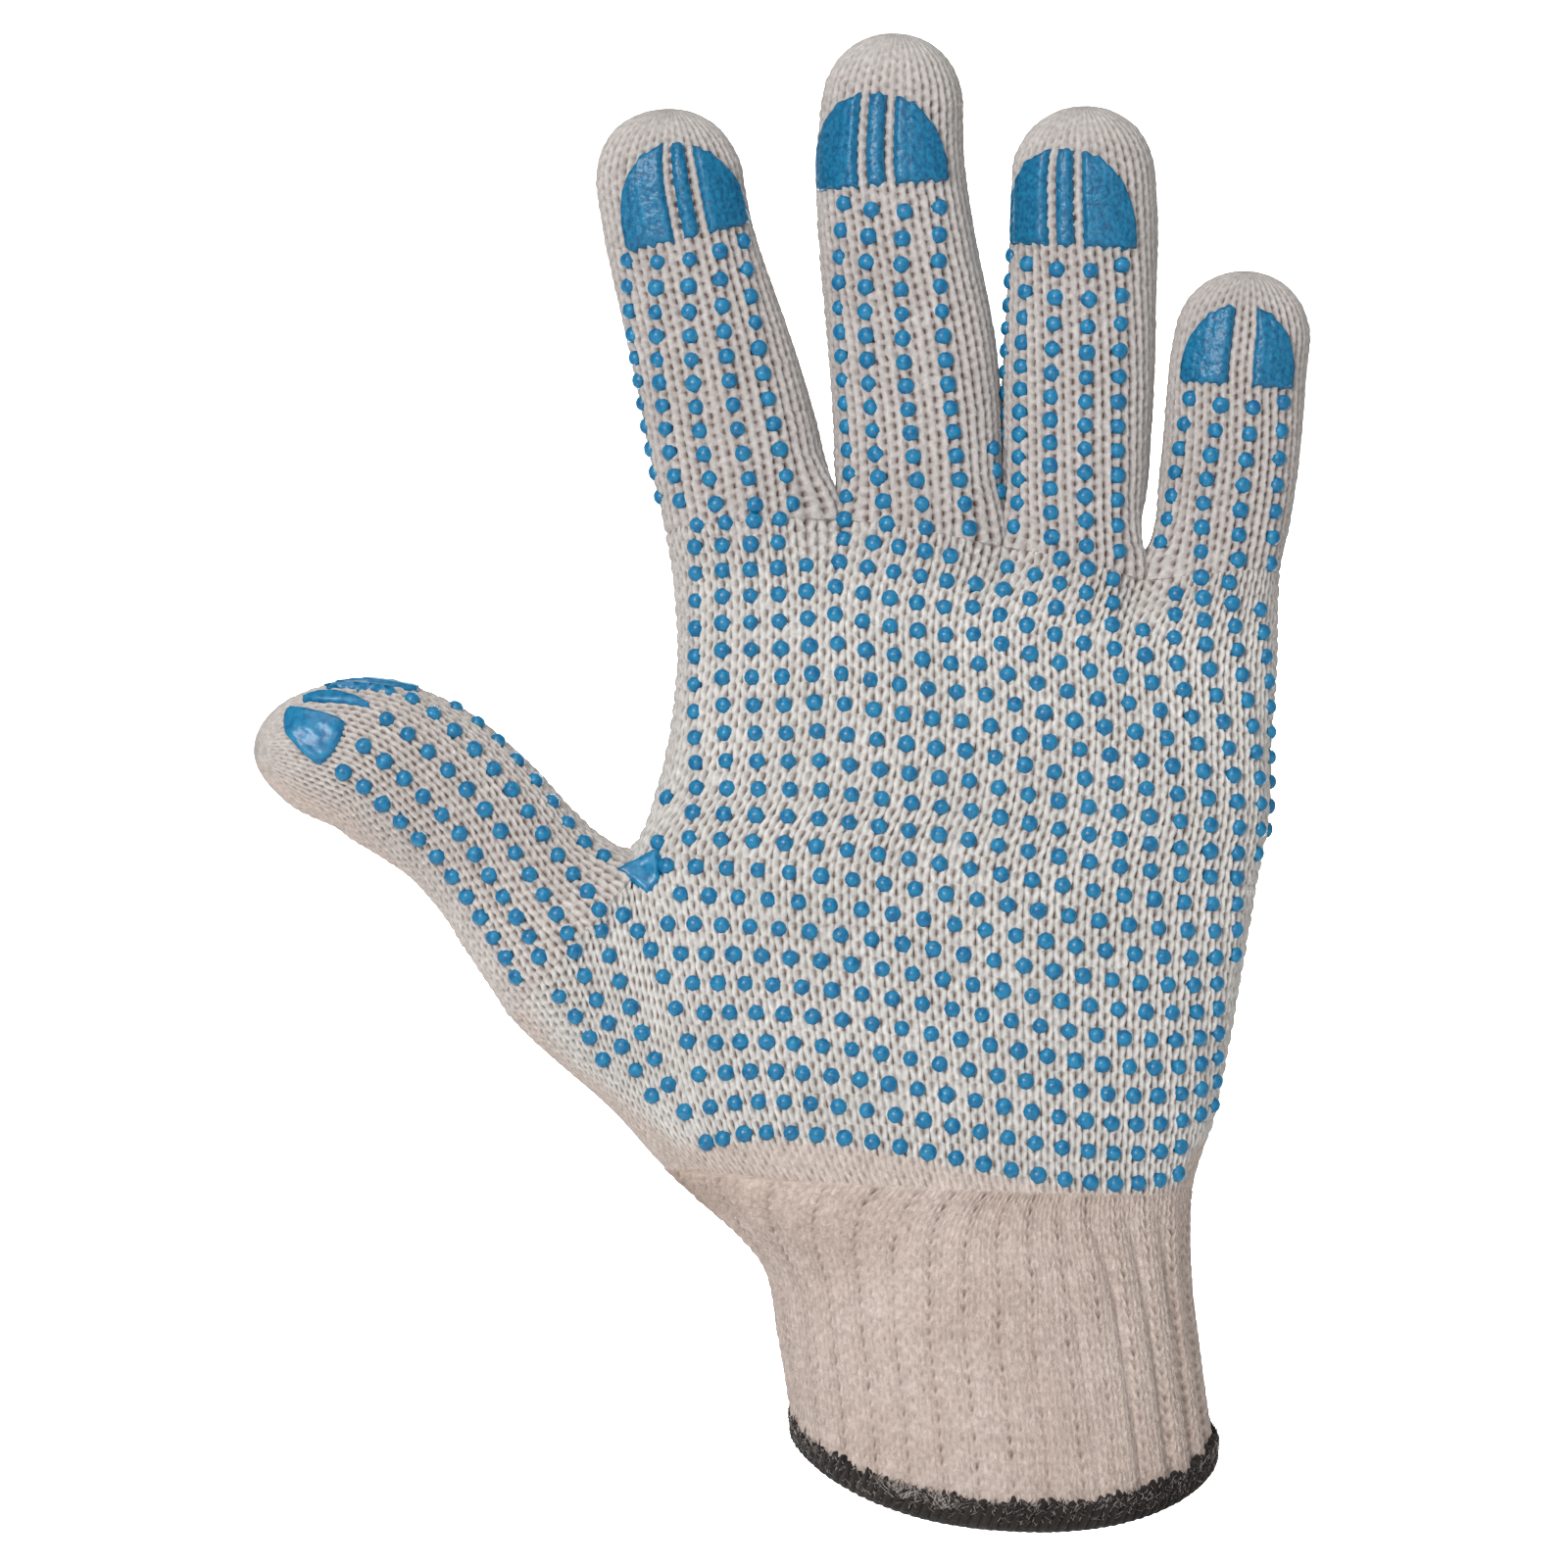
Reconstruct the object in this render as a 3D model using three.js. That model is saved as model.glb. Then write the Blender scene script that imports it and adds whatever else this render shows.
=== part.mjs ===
import * as THREE from 'three';

// Knitted work glove for a left hand, in millimetres: fingers up +Z, palm towards -Y, thumb towards -X.
// The origin is the middle of the wrist opening, level with the lowest point of the hem.

// Driving sizes
const palmWidth = 96; // across the knuckles
const palmDepth = 30; // palm to back at the knuckles
const palmLength = 104; // wrist line to the crotch of the middle and ring fingers
const wristHeight = 52.7; // hem to wrist line, at the palm
const heelWidth = 95.5; // across the base of the thumb
const heelDepth = 36;
const wristWidth = 84.5; // at the wrist line
const wristDepth = 39;
const cuffWidth = 67;
const cuffDepth = 45;
const hemDip = 9; // how much lower the hem hangs at the palm than at the sides
const hemRise = 4; // how much higher it is at the back than at the sides
const hemTilt = 3.5; // how much lower it is at the little finger's side than at the thumb's
const hemBand = 3.8; // height of the overlocked band
const hemWall = 3.2;
const knitWall = 1.5;
const cuffWall = 2.2;
const ribCount = 28;
const ribDepth = 0.9;
const seam = 0.3; // gap between neighbouring pieces
const patchWall = 0.8;
const patchSeat = 0.4; // gap between a patch and the knit that it lies on
const tipRound = 11; // length of the rounded end of each finger
const webReach = 7; // how far the palm's knit reaches up each finger
const thumbReach = 12; // and up the thumb
const webArch = 3; // how much lower a web is at the palm and the back than in its middle
const webPatchHeight = 7.7; // the patch in the crotch of the thumb
const webPatchWidth = 7.1;

// Columns of points: at a finger's front, at the thumb's front, at a side, round the cuff
const fingerFront = 5;
const thumbFront = 6;
const side = 3;
const cuffColumns = 2 * ribCount;
const thumbColumnShare = 0.56; // of a palm column, at the heel

// Rows of points: between key rows, along a finger and over its tip
const fingerRootRows = 2;
const thumbRootRows = 3;
const palmRows = [3, 3, 2, 2];
const heelRows = [4, 2];
const cuffRows = [2, 2, 2];
const stallStep = 8;
const tipRows = [0.62, 0.3, 0.08]; // shares of tipRound below the tip
const patchRows = 4;

// How square the sections are, 2 being an ellipse, and how much of the depth lies at the palm's side
const fingerPower = 2.25;
const tipPower = 2.05;
const palmPower = 2.7;
const cuffPower = 2.2;
const palmShare = 0.52;
const hemPower = 1.6; // how sharply the hem dips at the palm
const patchPower = 2.6; // how round the top of a set of patches is
const patchShoulder = 0.25; // height of its outer edges, a share of its middle's

// A table of rows with named columns
const table = (columns, ...rows) => rows.map(
  (row) => Object.fromEntries(columns.split(' ').map((name, i) => [name, row[i]])),
);

// Fingers from the thumb's side. Length, width and depth are shares of the palm's, and a patch's height
// and distance from the tip are shares of the finger's length. In the sections, along follows the axis,
// aside points to the thumb's side and forward to the palm. Aside and width are shares of the width,
// forward and depth of the depth, and roll is how far the knit is turned, in shares of the girth.
const sized = (tube) => ({
  ...tube,
  length: tube.length * palmLength,
  width: tube.width * palmWidth,
  depth: tube.depth * palmDepth,
});
const fingers = [
  {
    name: 'index', length: 0.628, width: 0.271, depth: 0.717, rootAcross: -0.423, rootUp: 1.021, lean: -11.1,
    patch: { halfSpread: 0.157, height: 0.24, fromTip: 0.07, strips: 'three' },
    sections: table(
      'along aside forward width depth roll',
      [0, 0, 0, 1.04, 1.04, 0],
      [0.22, 0.015, 0, 1.02, 1, 0.008],
      [0.4, 0.04, 0.03, 0.97, 0.97, 0.016],
      [0.6, 0.085, 0.08, 0.91, 0.94, 0.024],
      [0.72, 0.1, 0.13, 0.89, 0.93, 0.028],
      [0.85, 0.08, 0.2, 0.89, 0.9, 0.028],
      [1, 0, 0.3, 0.88, 0.84, 0.028],
    ),
  },
  {
    name: 'middle', length: 0.742, width: 0.275, depth: 0.733, rootAcross: -0.14, rootUp: 1.013, lean: -2.7,
    patch: { halfSpread: 0.17, height: 0.192, fromTip: 0.119, strips: 'three' },
    sections: table(
      'along aside forward width depth roll',
      [0, 0, 0, 0.99, 1, 0],
      [0.2, -0.02, 0, 1, 0.98, -0.01],
      [0.36, -0.005, 0.02, 0.99, 0.97, -0.02],
      [0.56, 0.05, 0.05, 0.93, 0.94, -0.032],
      [0.72, 0.075, 0.1, 0.88, 0.92, -0.04],
      [0.86, 0.05, 0.17, 0.85, 0.88, -0.04],
      [1, 0.01, 0.26, 0.84, 0.84, -0.04],
    ),
  },
  {
    name: 'ring', length: 0.666, width: 0.249, depth: 0.7, rootAcross: 0.114, rootUp: 0.976, lean: 1.5,
    patch: { halfSpread: 0.17, height: 0.231, fromTip: 0.087, strips: 'three' },
    sections: table(
      'along aside forward width depth roll',
      [0, 0, 0, 0.98, 1, 0],
      [0.2, -0.01, 0, 0.98, 0.98, -0.012],
      [0.4, -0.02, 0.03, 0.99, 0.97, -0.025],
      [0.6, -0.025, 0.08, 0.97, 0.95, -0.042],
      [0.74, -0.03, 0.14, 0.95, 0.93, -0.058],
      [0.87, -0.02, 0.21, 0.93, 0.9, -0.058],
      [1, 0, 0.3, 0.92, 0.84, -0.058],
    ),
  },
  {
    name: 'little', length: 0.442, width: 0.227, depth: 0.617, rootAcross: 0.35, rootUp: 0.953, lean: 6.9,
    patch: { halfSpread: 0.15, height: 0.287, fromTip: 0.109, strips: 'two' },
    sections: table(
      'along aside forward width depth roll',
      [0, 0, 0, 0.98, 1.02, 0],
      [0.2, -0.035, 0, 0.98, 1, 0],
      [0.4, -0.04, 0.02, 0.98, 0.98, -0.005],
      [0.6, -0.02, 0.06, 0.98, 0.96, -0.015],
      [0.8, 0.005, 0.12, 0.97, 0.93, -0.02],
      [1, 0.03, 0.2, 0.95, 0.88, -0.02],
    ),
  },
].map(sized);
const thumb = sized({
  name: 'thumb', length: 0.579, width: 0.275, depth: 0.767, rootAcross: -0.706, rootUp: 0.37, lean: -57,
  patch: { halfSpread: 0.155, height: 0.224, fromTip: 0.075, strips: 'three' },
  sections: table(
    'along aside forward width depth roll',
    [-0.06, 0.03, 0.02, 1.32, 1.3, 0],
    [0, 0.01, 0.02, 1.26, 1.24, 0],
    [0.12, -0.03, 0.03, 1.12, 1.14, 0.005],
    [0.242, -0.117, 0.06, 1, 1.05, 0.01],
    [0.411, -0.225, 0.12, 0.98, 1, 0.03],
    [0.575, -0.26, 0.2, 1, 0.98, 0.05],
    [0.735, -0.205, 0.3, 0.95, 0.95, 0.08],
    [0.902, -0.02, 0.42, 0.82, 0.9, 0.115],
    [1, 0.11, 0.48, 0.74, 0.84, 0.12],
  ),
});

// Tops of the webs between neighbouring fingers. Across is a share of palmWidth, up of palmLength.
const webs = table(
  'across up',
  [-0.274, 1.04],
  [-0.006, 0.998],
  [0.23, 0.947],
);
const thumbWeb = { across: -0.624, up: 0.505 };

// Sections of the palm from the knuckles down. Left up and right up are shares of palmLength at the
// outline, left and right of palmWidth from the wrist's axis, front and back of palmDepth.
const palmSections = table(
  'leftUp rightUp left right front back',
  [0.917, 0.78, -0.547, 0.452, 0.43, 0.41],
  [0.78, 0.67, -0.541, 0.443, 0.49, 0.47],
  [0.605, 0.56, -0.572, 0.439, 0.53, 0.5],
  [0.502, 0.45, -0.622, 0.418, 0.55, 0.52],
);

// Sections of the heel and the cuff. Left up and right up are shares of wristHeight at the outline, and
// middle is how far the section's middle lies off the wrist's axis, a share of its width.
const heel = { leftUp: 1.19, rightUp: 1.2, middle: -0.148 };
const wrist = { leftUp: 1.035, rightUp: 0.965, middle: -0.145 };
const cuffSections = table(
  'leftUp rightUp middle width depth',
  [0.74, 0.72, -0.064, 1.024, 0.93],
  [0.52, 0.52, -0.038, 1, 0.96],
);

// The strips of a fingertip's patches, in shares of half their spread
const patchStrips = {
  three: [
    { place: 'left', from: -1, to: -0.24, columns: 3 },
    { place: 'centre', from: -0.13, to: 0.13, columns: 1 },
    { place: 'right', from: 0.24, to: 1, columns: 3 },
  ],
  two: [
    { place: 'left', from: -1, to: -0.14, columns: 3 },
    { place: 'right', from: 0.24, to: 1, columns: 3 },
  ],
};
const webPatchCorners = {
  left: { across: -0.32, up: -0.39 },
  top: { across: 0.68, up: 0.1 },
  right: { across: 0.69, up: -0.58 },
  bottom: { across: 0.45, up: -0.9 },
};

// The hem's section: out of the cuff's outline in shares of hemWall, up in shares of hemBand
const hemProfile = table(
  'out up',
  [-0.3, 0],
  [0.16, 0.25],
  [0.16, 0.8],
  [-0.1, 1],
  [-0.66, 1],
  [-0.84, 0.3],
);

const yAxis = new THREE.Vector3(0, 1, 0);
const down = new THREE.Vector3(0, 0, -1);
const mix = THREE.MathUtils.lerp;
const evenly = (count) => Array.from({ length: count }, (_, i) => (i + 1) / count);
const midway = (a, b) => a.clone().add(b).multiplyScalar(0.5);

// One column of a table at any place along it, as a smooth curve through its rows
function track(rows, column, at) {
  let i = 1;
  while (i < rows.length - 1 && rows[i].along < at) i += 1;
  const slope = (j) => {
    const before = rows[Math.max(j - 1, 0)];
    const after = rows[Math.min(j + 1, rows.length - 1)];
    return (after[column] - before[column]) / (after.along - before.along);
  };
  const [a, b] = [rows[i - 1], rows[i]];
  const step = b.along - a.along;
  const t = (at - a.along) / step;
  return (2 * t ** 3 - 3 * t ** 2 + 1) * a[column] + (t ** 3 - 2 * t ** 2 + t) * step * slope(i - 1)
    + (3 * t ** 2 - 2 * t ** 3) * b[column] + (t ** 3 - t ** 2) * step * slope(i);
}

// Points of a rounded outline at shares of its girth, counted from the middle of its front to the right.
// Each point is [to the right, to the back].
function outline(halfWidth, front, back, power, shares) {
  const steps = 120;
  const soften = (value) => Math.sign(value) * Math.abs(value) ** (2 / power);
  const samples = [];
  const reached = [0];
  for (let i = 0; i <= steps; i += 1) {
    const turn = (2 * Math.PI * i) / steps;
    const c = Math.cos(turn);
    samples.push([halfWidth * soften(Math.sin(turn)), -(c > 0 ? front : back) * soften(c)]);
    if (i > 0) {
      const [a, b] = [samples[i - 1], samples[i]];
      reached.push(reached[i - 1] + Math.hypot(b[0] - a[0], b[1] - a[1]));
    }
  }
  return shares.map((share) => {
    const target = (share - Math.floor(share)) * reached[steps];
    let i = 1;
    while (i < steps && reached[i] < target) i += 1;
    const t = (target - reached[i - 1]) / (reached[i] - reached[i - 1]);
    return [mix(samples[i - 1][0], samples[i][0], t), mix(samples[i - 1][1], samples[i][1], t)];
  });
}

// The axis of a finger or the thumb at a share of its length
function axisPoint(tube, at) {
  const lean = THREE.MathUtils.degToRad(tube.lean);
  const up = new THREE.Vector3(Math.sin(lean), 0, Math.cos(lean));
  const across = new THREE.Vector3(Math.cos(lean), 0, -Math.sin(lean));
  const root = new THREE.Vector3(tube.rootAcross * palmWidth, 0, wristHeight + tube.rootUp * palmLength);
  return root.addScaledVector(up, at * tube.length)
    .addScaledVector(across, -track(tube.sections, 'aside', at) * tube.width)
    .addScaledVector(yAxis, -track(tube.sections, 'forward', at) * tube.depth);
}

function alongAt(tube, at) {
  const reach = 0.02;
  return axisPoint(tube, at + reach).sub(axisPoint(tube, at - reach)).normalize();
}

// Points round a finger or the thumb at a share of its length. The rounded tip narrows it.
function ringAt(tube, at, shares) {
  const centre = axisPoint(tube, at);
  const along = alongAt(tube, at);
  const across = new THREE.Vector3().crossVectors(yAxis, along).normalize();
  const behind = new THREE.Vector3().crossVectors(along, across);
  const fromTip = ((1 - at) * tube.length) / tipRound;
  const cap = fromTip < 1 ? (1 - (1 - fromTip) ** tipPower) ** (1 / tipPower) : 1;
  const halfWidth = (cap * track(tube.sections, 'width', at) * tube.width) / 2;
  const halfDepth = (cap * track(tube.sections, 'depth', at) * tube.depth) / 2;
  const roll = track(tube.sections, 'roll', at);
  return outline(halfWidth, halfDepth, halfDepth, fingerPower, shares.map((share) => share + roll)).map(
    ([right, back]) => centre.clone().addScaledVector(across, right).addScaledVector(behind, back),
  );
}

// Shares of the girth for the columns of a tube with so many columns at its front
function tubeShares(front) {
  const count = 2 * (front + side);
  return Array.from({ length: count }, (_, c) => (c - front / 2) / count);
}

// A section of the palm, heel or cuff, level or slanted from left to right
function loopAt({ left, right, leftUp, rightUp, front, back, power }, shares) {
  const middle = (left + right) / 2;
  return outline((right - left) / 2, front, back, power, shares).map(([x, y]) => new THREE.Vector3(
    middle + x,
    y,
    mix(leftUp, rightUp, (middle + x - left) / (right - left)),
  ));
}

const palmSection = (row) => ({
  left: row.left * palmWidth,
  right: row.right * palmWidth,
  leftUp: wristHeight + row.leftUp * palmLength,
  rightUp: wristHeight + row.rightUp * palmLength,
  front: row.front * palmDepth,
  back: row.back * palmDepth,
  power: palmPower,
});

const lowSection = (row, width, depth, power) => ({
  left: (row.middle - 0.5) * width,
  right: (row.middle + 0.5) * width,
  leftUp: row.leftUp * wristHeight,
  rightUp: row.rightUp * wristHeight,
  front: palmShare * depth,
  back: (1 - palmShare) * depth,
  power,
});

// The surface of one piece: points with numbers, and triangles between rows of numbered points
class Skin {
  constructor() {
    this.points = [];
    this.faces = [];
    this.edges = new Map();
  }

  // Numbers of a row's points. Those that are known already keep their numbers.
  row(points, known = []) {
    return points.map((point, i) => known[i] ?? this.points.push(point) - 1);
  }

  join(lower, upper, closed = true) {
    const last = closed ? lower.length : lower.length - 1;
    for (let i = 0; i < last; i += 1) {
      const j = (i + 1) % lower.length;
      this.faces.push([lower[i], lower[j], upper[j]], [lower[i], upper[j], upper[i]]);
    }
  }

  // Rows upwards from a numbered row. Returns the last.
  grow(lower, rows) {
    return rows.reduce((below, points) => {
      const above = this.row(points);
      this.join(below, above);
      return above;
    }, lower);
  }

  // Rows downwards from a numbered row. Returns the last.
  hang(upper, rows) {
    return rows.reduce((above, points) => {
      const below = this.row(points);
      this.join(below, above);
      return below;
    }, upper);
  }

  close(row, point) {
    const [tip] = this.row([point]);
    row.forEach((id, i) => this.faces.push([id, row[(i + 1) % row.length], tip]));
  }

  // The wall ends square to an axis at this numbered row
  square(row, axis) {
    row.forEach((id) => this.edges.set(id, axis));
    return row;
  }

  normals() {
    const normals = this.points.map(() => new THREE.Vector3());
    for (const [a, b, c] of this.faces) {
      const u = this.points[b].clone().sub(this.points[a]);
      const v = this.points[c].clone().sub(this.points[a]);
      const normal = u.cross(v);
      [a, b, c].forEach((id) => normals[id].add(normal));
    }
    this.edges.forEach((axis, id) => normals[id].projectOnPlane(axis));
    return normals.map((normal) => normal.normalize());
  }

  // A closed wall between this surface moved outwards by two distances
  wall(outer, inner) {
    const normals = this.normals();
    const count = this.points.length;
    const moved = [outer, inner].flatMap(
      (distance) => this.points.map((point, i) => point.clone().addScaledVector(normals[i], distance)),
    );
    const edges = new Set(this.faces.flatMap(([a, b, c]) => [`${a}-${b}`, `${b}-${c}`, `${c}-${a}`]));
    const faces = this.faces.flatMap(([a, b, c]) => {
      const rim = [[a, b], [b, c], [c, a]].filter(([from, to]) => !edges.has(`${to}-${from}`));
      return [
        [a, b, c],
        [count + a, count + c, count + b],
        ...rim.flatMap(([from, to]) => [[to, from, count + from], [to, count + from, count + to]]),
      ];
    });
    return solidFrom(moved, faces);
  }
}

function solidFrom(points, faces) {
  const geometry = new THREE.BufferGeometry();
  geometry.setAttribute(
    'position',
    new THREE.Float32BufferAttribute(points.flatMap((point) => point.toArray()), 3),
  );
  geometry.setIndex(faces.flat());
  geometry.computeVertexNormals();
  return geometry;
}

// Rows of points at shares of the way from one key row to the next, on smooth curves through the keys
function rowsBetween(keys, key, shares) {
  const curves = keys[0].map((_, c) => new THREE.CatmullRomCurve3(keys.map((row) => row[c]), false));
  return shares.map((share) => curves.map((curve) => curve.getPoint((key + share) / (keys.length - 1))));
}

// A web's line from its corner at the palm to its corner at the back
function webLine(top, frontCorner, backCorner, lower) {
  return Array.from({ length: side + 1 }, (_, q) => {
    const spread = (2 * q) / side - 1;
    return new THREE.Vector3(top.x, mix(frontCorner.y, backCorner.y, q / side), top.z)
      .addScaledVector(lower, webArch * spread ** 2);
  });
}

const webTop = ({ across, up }) => new THREE.Vector3(
  across * palmWidth,
  0,
  wristHeight + up * palmLength,
);

const fingerShares = tubeShares(fingerFront);
const fingerColumns = fingerShares.length;
const thumbShares = tubeShares(thumbFront);
const lastFinger = fingers.length - 1;
const palmFront = fingers.length * fingerFront;
const palmColumns = 2 * (palmFront + side);
const palmShares = Array.from({ length: palmColumns }, (_, c) => (c - palmFront / 2) / palmColumns);

// The palm's column below a finger's column, or null where that side ends in a web
function palmColumn(finger, column) {
  const behind = fingerFront + side;
  if (column <= fingerFront) return finger * fingerFront + column;
  if (column < behind) return finger === lastFinger ? palmFront + column - fingerFront : null;
  if (column <= behind + fingerFront) {
    return palmFront + side + (lastFinger - finger) * fingerFront + column - behind;
  }
  return finger === 0 ? palmColumns - fingerColumns + column : null;
}

// A palm row from the fingers' rows. Where two fingers meet, the point is midway.
function palmRowFrom(rings) {
  const row = [];
  rings.forEach((ring, f) => ring.forEach((point, c) => {
    const column = palmColumn(f, c);
    if (column !== null) row[column] = row[column] ? midway(row[column], point) : point;
  }));
  return row;
}

// The fingers' roots, whose sides share the lines of the webs
const cutAt = fingers.map((finger) => webReach / finger.length);
const cutRings = fingers.map((finger, f) => ringAt(finger, cutAt[f], fingerShares));
const rootRings = fingers.map((finger) => ringAt(finger, 0, fingerShares));
webs.forEach((web, w) => {
  const [left, right] = [rootRings[w], rootRings[w + 1]];
  const frontCorner = midway(left[fingerFront], right[0]);
  const backCorner = midway(left[fingerFront + side], right[fingerColumns - side]);
  webLine(webTop(web), frontCorner, backCorner, down).forEach((point, q) => {
    left[fingerFront + q] = point;
    right[(fingerColumns - q) % fingerColumns] = point;
  });
});
for (const ring of rootRings) {
  for (const first of [0, fingerFront + side]) {
    for (let i = 1; i < fingerFront; i += 1) {
      ring[first + i].z = mix(ring[first].z, ring[first + fingerFront].z, i / fingerFront);
    }
  }
}

// The thumb's root, whose upper side shares the line of its web with the palm's left side
const thumbCutAt = thumbReach / thumb.length;
const thumbCutRing = ringAt(thumb, thumbCutAt, thumbShares);
const thumbRoot = ringAt(thumb, 0, thumbShares);
const palmKeys = palmSections.map((row) => loopAt(palmSection(row), palmShares));
const [palmAbove, lastPalm] = palmKeys.slice(-2);
const intoPalm = new THREE.Vector3(0.6, 0, -0.8);
webLine(
  webTop(thumbWeb),
  midway(thumbRoot[thumbFront], lastPalm[0]),
  midway(thumbRoot[thumbFront + side], lastPalm[palmColumns - side]),
  intoPalm,
).forEach((point, q) => {
  thumbRoot[thumbFront + q] = point;
  lastPalm[(palmColumns - q) % palmColumns] = point;
});

// Shares of the girth for the heel's columns, where the thumb's are narrower than the palm's
const heelSteps = [
  ...Array(thumbFront).fill(thumbColumnShare),
  ...Array(2 * palmFront + side).fill(1),
  ...Array(thumbFront + side).fill(thumbColumnShare),
];
const heelGirth = heelSteps.reduce((sum, step) => sum + step, 0);
const heelShares = heelSteps.map((_, c) => {
  const before = heelSteps.slice(0, c).reduce((sum, step) => sum + step, 0);
  return (before + (side / 2) * thumbColumnShare) / heelGirth - 0.25;
});
const heelRow = (thumbRow, palmRow) => [
  ...thumbRow.slice(0, thumbFront),
  ...palmRow.slice(0, 2 * palmFront + side),
  ...thumbRow.slice(thumbFront + side),
];

// Sections of the cuff, and the line of the hem, which dips at the palm
const cuffSectionsAt = cuffSections.map(
  (row) => lowSection(row, row.width * cuffWidth, row.depth * cuffDepth, cuffPower),
);
const heelSection = lowSection(heel, heelWidth, heelDepth, palmPower);
const wristSection = lowSection(wrist, wristWidth, wristDepth, palmPower);
const hemSection = lowSection({ leftUp: 0, rightUp: 0, middle: 0 }, cuffWidth, cuffDepth, cuffPower);
function hemUp({ x, y }) {
  const level = y < 0 ? -hemDip * (-y / hemSection.front) ** hemPower : hemRise * (y / hemSection.back);
  return level - (hemTilt * x) / cuffWidth;
}

// The palm and its webs, from the fingers' roots to the level of the thumb's web
function palmShell() {
  const skin = new Skin();
  const upperKeys = [palmRowFrom(cutRings), palmRowFrom(rootRings), ...palmKeys];
  const rootRow = skin.row(upperKeys[1]);
  const webIds = webs.map((_, w) => skin.row(rootRings[w].slice(fingerFront + 1, fingerFront + side)));
  fingers.forEach((finger, f) => {
    const opposite = (c) => (fingerColumns + fingerFront - c) % fingerColumns;
    const known = [];
    const below = [];
    fingerShares.forEach((_, c) => {
      const column = palmColumn(f, c);
      const onRight = c < fingerFront + side;
      if (column !== null) {
        known[c] = rootRow[column];
        below[c] = palmKeys[0][column];
      } else {
        known[c] = onRight ? webIds[f][c - fingerFront - 1] : webIds[f - 1][fingerColumns - c - 1];
        below[c] = cutRings[onRight ? f + 1 : f - 1][opposite(c)];
      }
    });
    const above = ringAt(finger, 2 * cutAt[f], fingerShares);
    const keys = [below, rootRings[f], cutRings[f], above];
    const last = skin.grow(known, rowsBetween(keys, 1, evenly(fingerRootRows)));
    skin.square(last, alongAt(finger, cutAt[f]));
  });

  // Down the palm to the thumb's web
  const thumbOpposite = thumbCutRing.slice(thumbFront, thumbFront + side + 1).reverse();
  const belowPalm = loopAt(heelSection, heelShares).slice(thumbFront, thumbFront + 2 * palmFront + side);
  const underWeb = [...belowPalm, ...thumbOpposite.slice(0, side)];
  const keys = [...upperKeys, underWeb];
  const lastReach = palmAbove[0].distanceTo(lastPalm[0]);
  let row = rootRow;
  palmRows.forEach((count, segment) => {
    const reach = segment === palmRows.length - 1 ? 1 - seam / lastReach : 1;
    const shares = evenly(count).map((share) => share * reach);
    row = skin.hang(row, rowsBetween(keys, segment + 1, shares));
  });
  skin.square(row, down);
  return skin;
}

// The heel of the hand and the thumb's root, from the level of the web to the wrist line
function heelShell() {
  const skin = new Skin();
  let row = skin.row(lastPalm);
  skin.square(row.slice(1, palmColumns - side), down);
  const webIdsOfThumb = [];
  for (let q = 0; q <= side; q += 1) webIdsOfThumb[thumbFront + q] = row[(palmColumns - q) % palmColumns];
  const thumbIds = skin.row(thumbRoot, webIdsOfThumb);
  const belowThumb = ringAt(thumb, -thumbCutAt / 2, thumbShares);
  for (let q = 1; q < side; q += 1) belowThumb[thumbFront + q] = palmAbove[palmColumns - q];
  const aboveThumb = ringAt(thumb, 2 * thumbCutAt, thumbShares);
  const thumbKeys = [belowThumb, thumbRoot, thumbCutRing, aboveThumb];
  const thumbEnd = skin.grow(thumbIds, rowsBetween(thumbKeys, 1, evenly(thumbRootRows)));
  skin.square(thumbEnd, alongAt(thumb, thumbCutAt));

  // Down to the wrist, with the thumb's columns
  const heelKeys = [
    heelRow(thumbCutRing, palmAbove),
    heelRow(thumbRoot, lastPalm),
    loopAt(heelSection, heelShares),
    loopAt(wristSection, heelShares),
    loopAt(cuffSectionsAt[0], heelShares),
  ];
  row = heelRow(thumbIds, row);
  heelRows.forEach((count, segment) => {
    row = skin.hang(row, rowsBetween(heelKeys, segment + 1, evenly(count)));
  });
  skin.square(row, down);
  return skin;
}

// The rest of a finger or the thumb, closed at the tip
function stall(tube, cut, shares) {
  const skin = new Skin();
  const start = cut + seam / tube.length;
  const tipStart = 1 - tipRound / tube.length;
  const steps = Math.round(((tipStart - start) * tube.length) / stallStep);
  const body = evenly(steps).map((share) => mix(start, tipStart, share));
  const tip = tipRows.map((share) => 1 - (share * tipRound) / tube.length);
  const first = skin.square(skin.row(ringAt(tube, start, shares)), alongAt(tube, start));
  const last = skin.grow(first, [...body, ...tip].map((at) => ringAt(tube, at, shares)));
  skin.close(last, axisPoint(tube, 1));
  return skin;
}

// A patch on the front of a fingertip. Its field is a round-topped one, of which it keeps a strip.
function tipPatch(tube, { from, to, columns }) {
  const skin = new Skin();
  const { halfSpread, height, fromTip } = tube.patch;
  const grid = [];
  for (let j = 0; j <= patchRows; j += 1) {
    const points = [];
    for (let i = 0; i <= columns; i += 1) {
      const across = mix(from, to, i / columns);
      const dome = Math.max(patchShoulder, (1 - Math.abs(across) ** patchPower) ** 0.5);
      const up = (j / patchRows) * dome * height;
      points.push(ringAt(tube, 1 - fromTip - height + up, [across * halfSpread])[0]);
    }
    grid.push(skin.row(points));
  }
  for (let j = 0; j < patchRows; j += 1) skin.join(grid[j], grid[j + 1], false);
  return skin;
}

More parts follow.
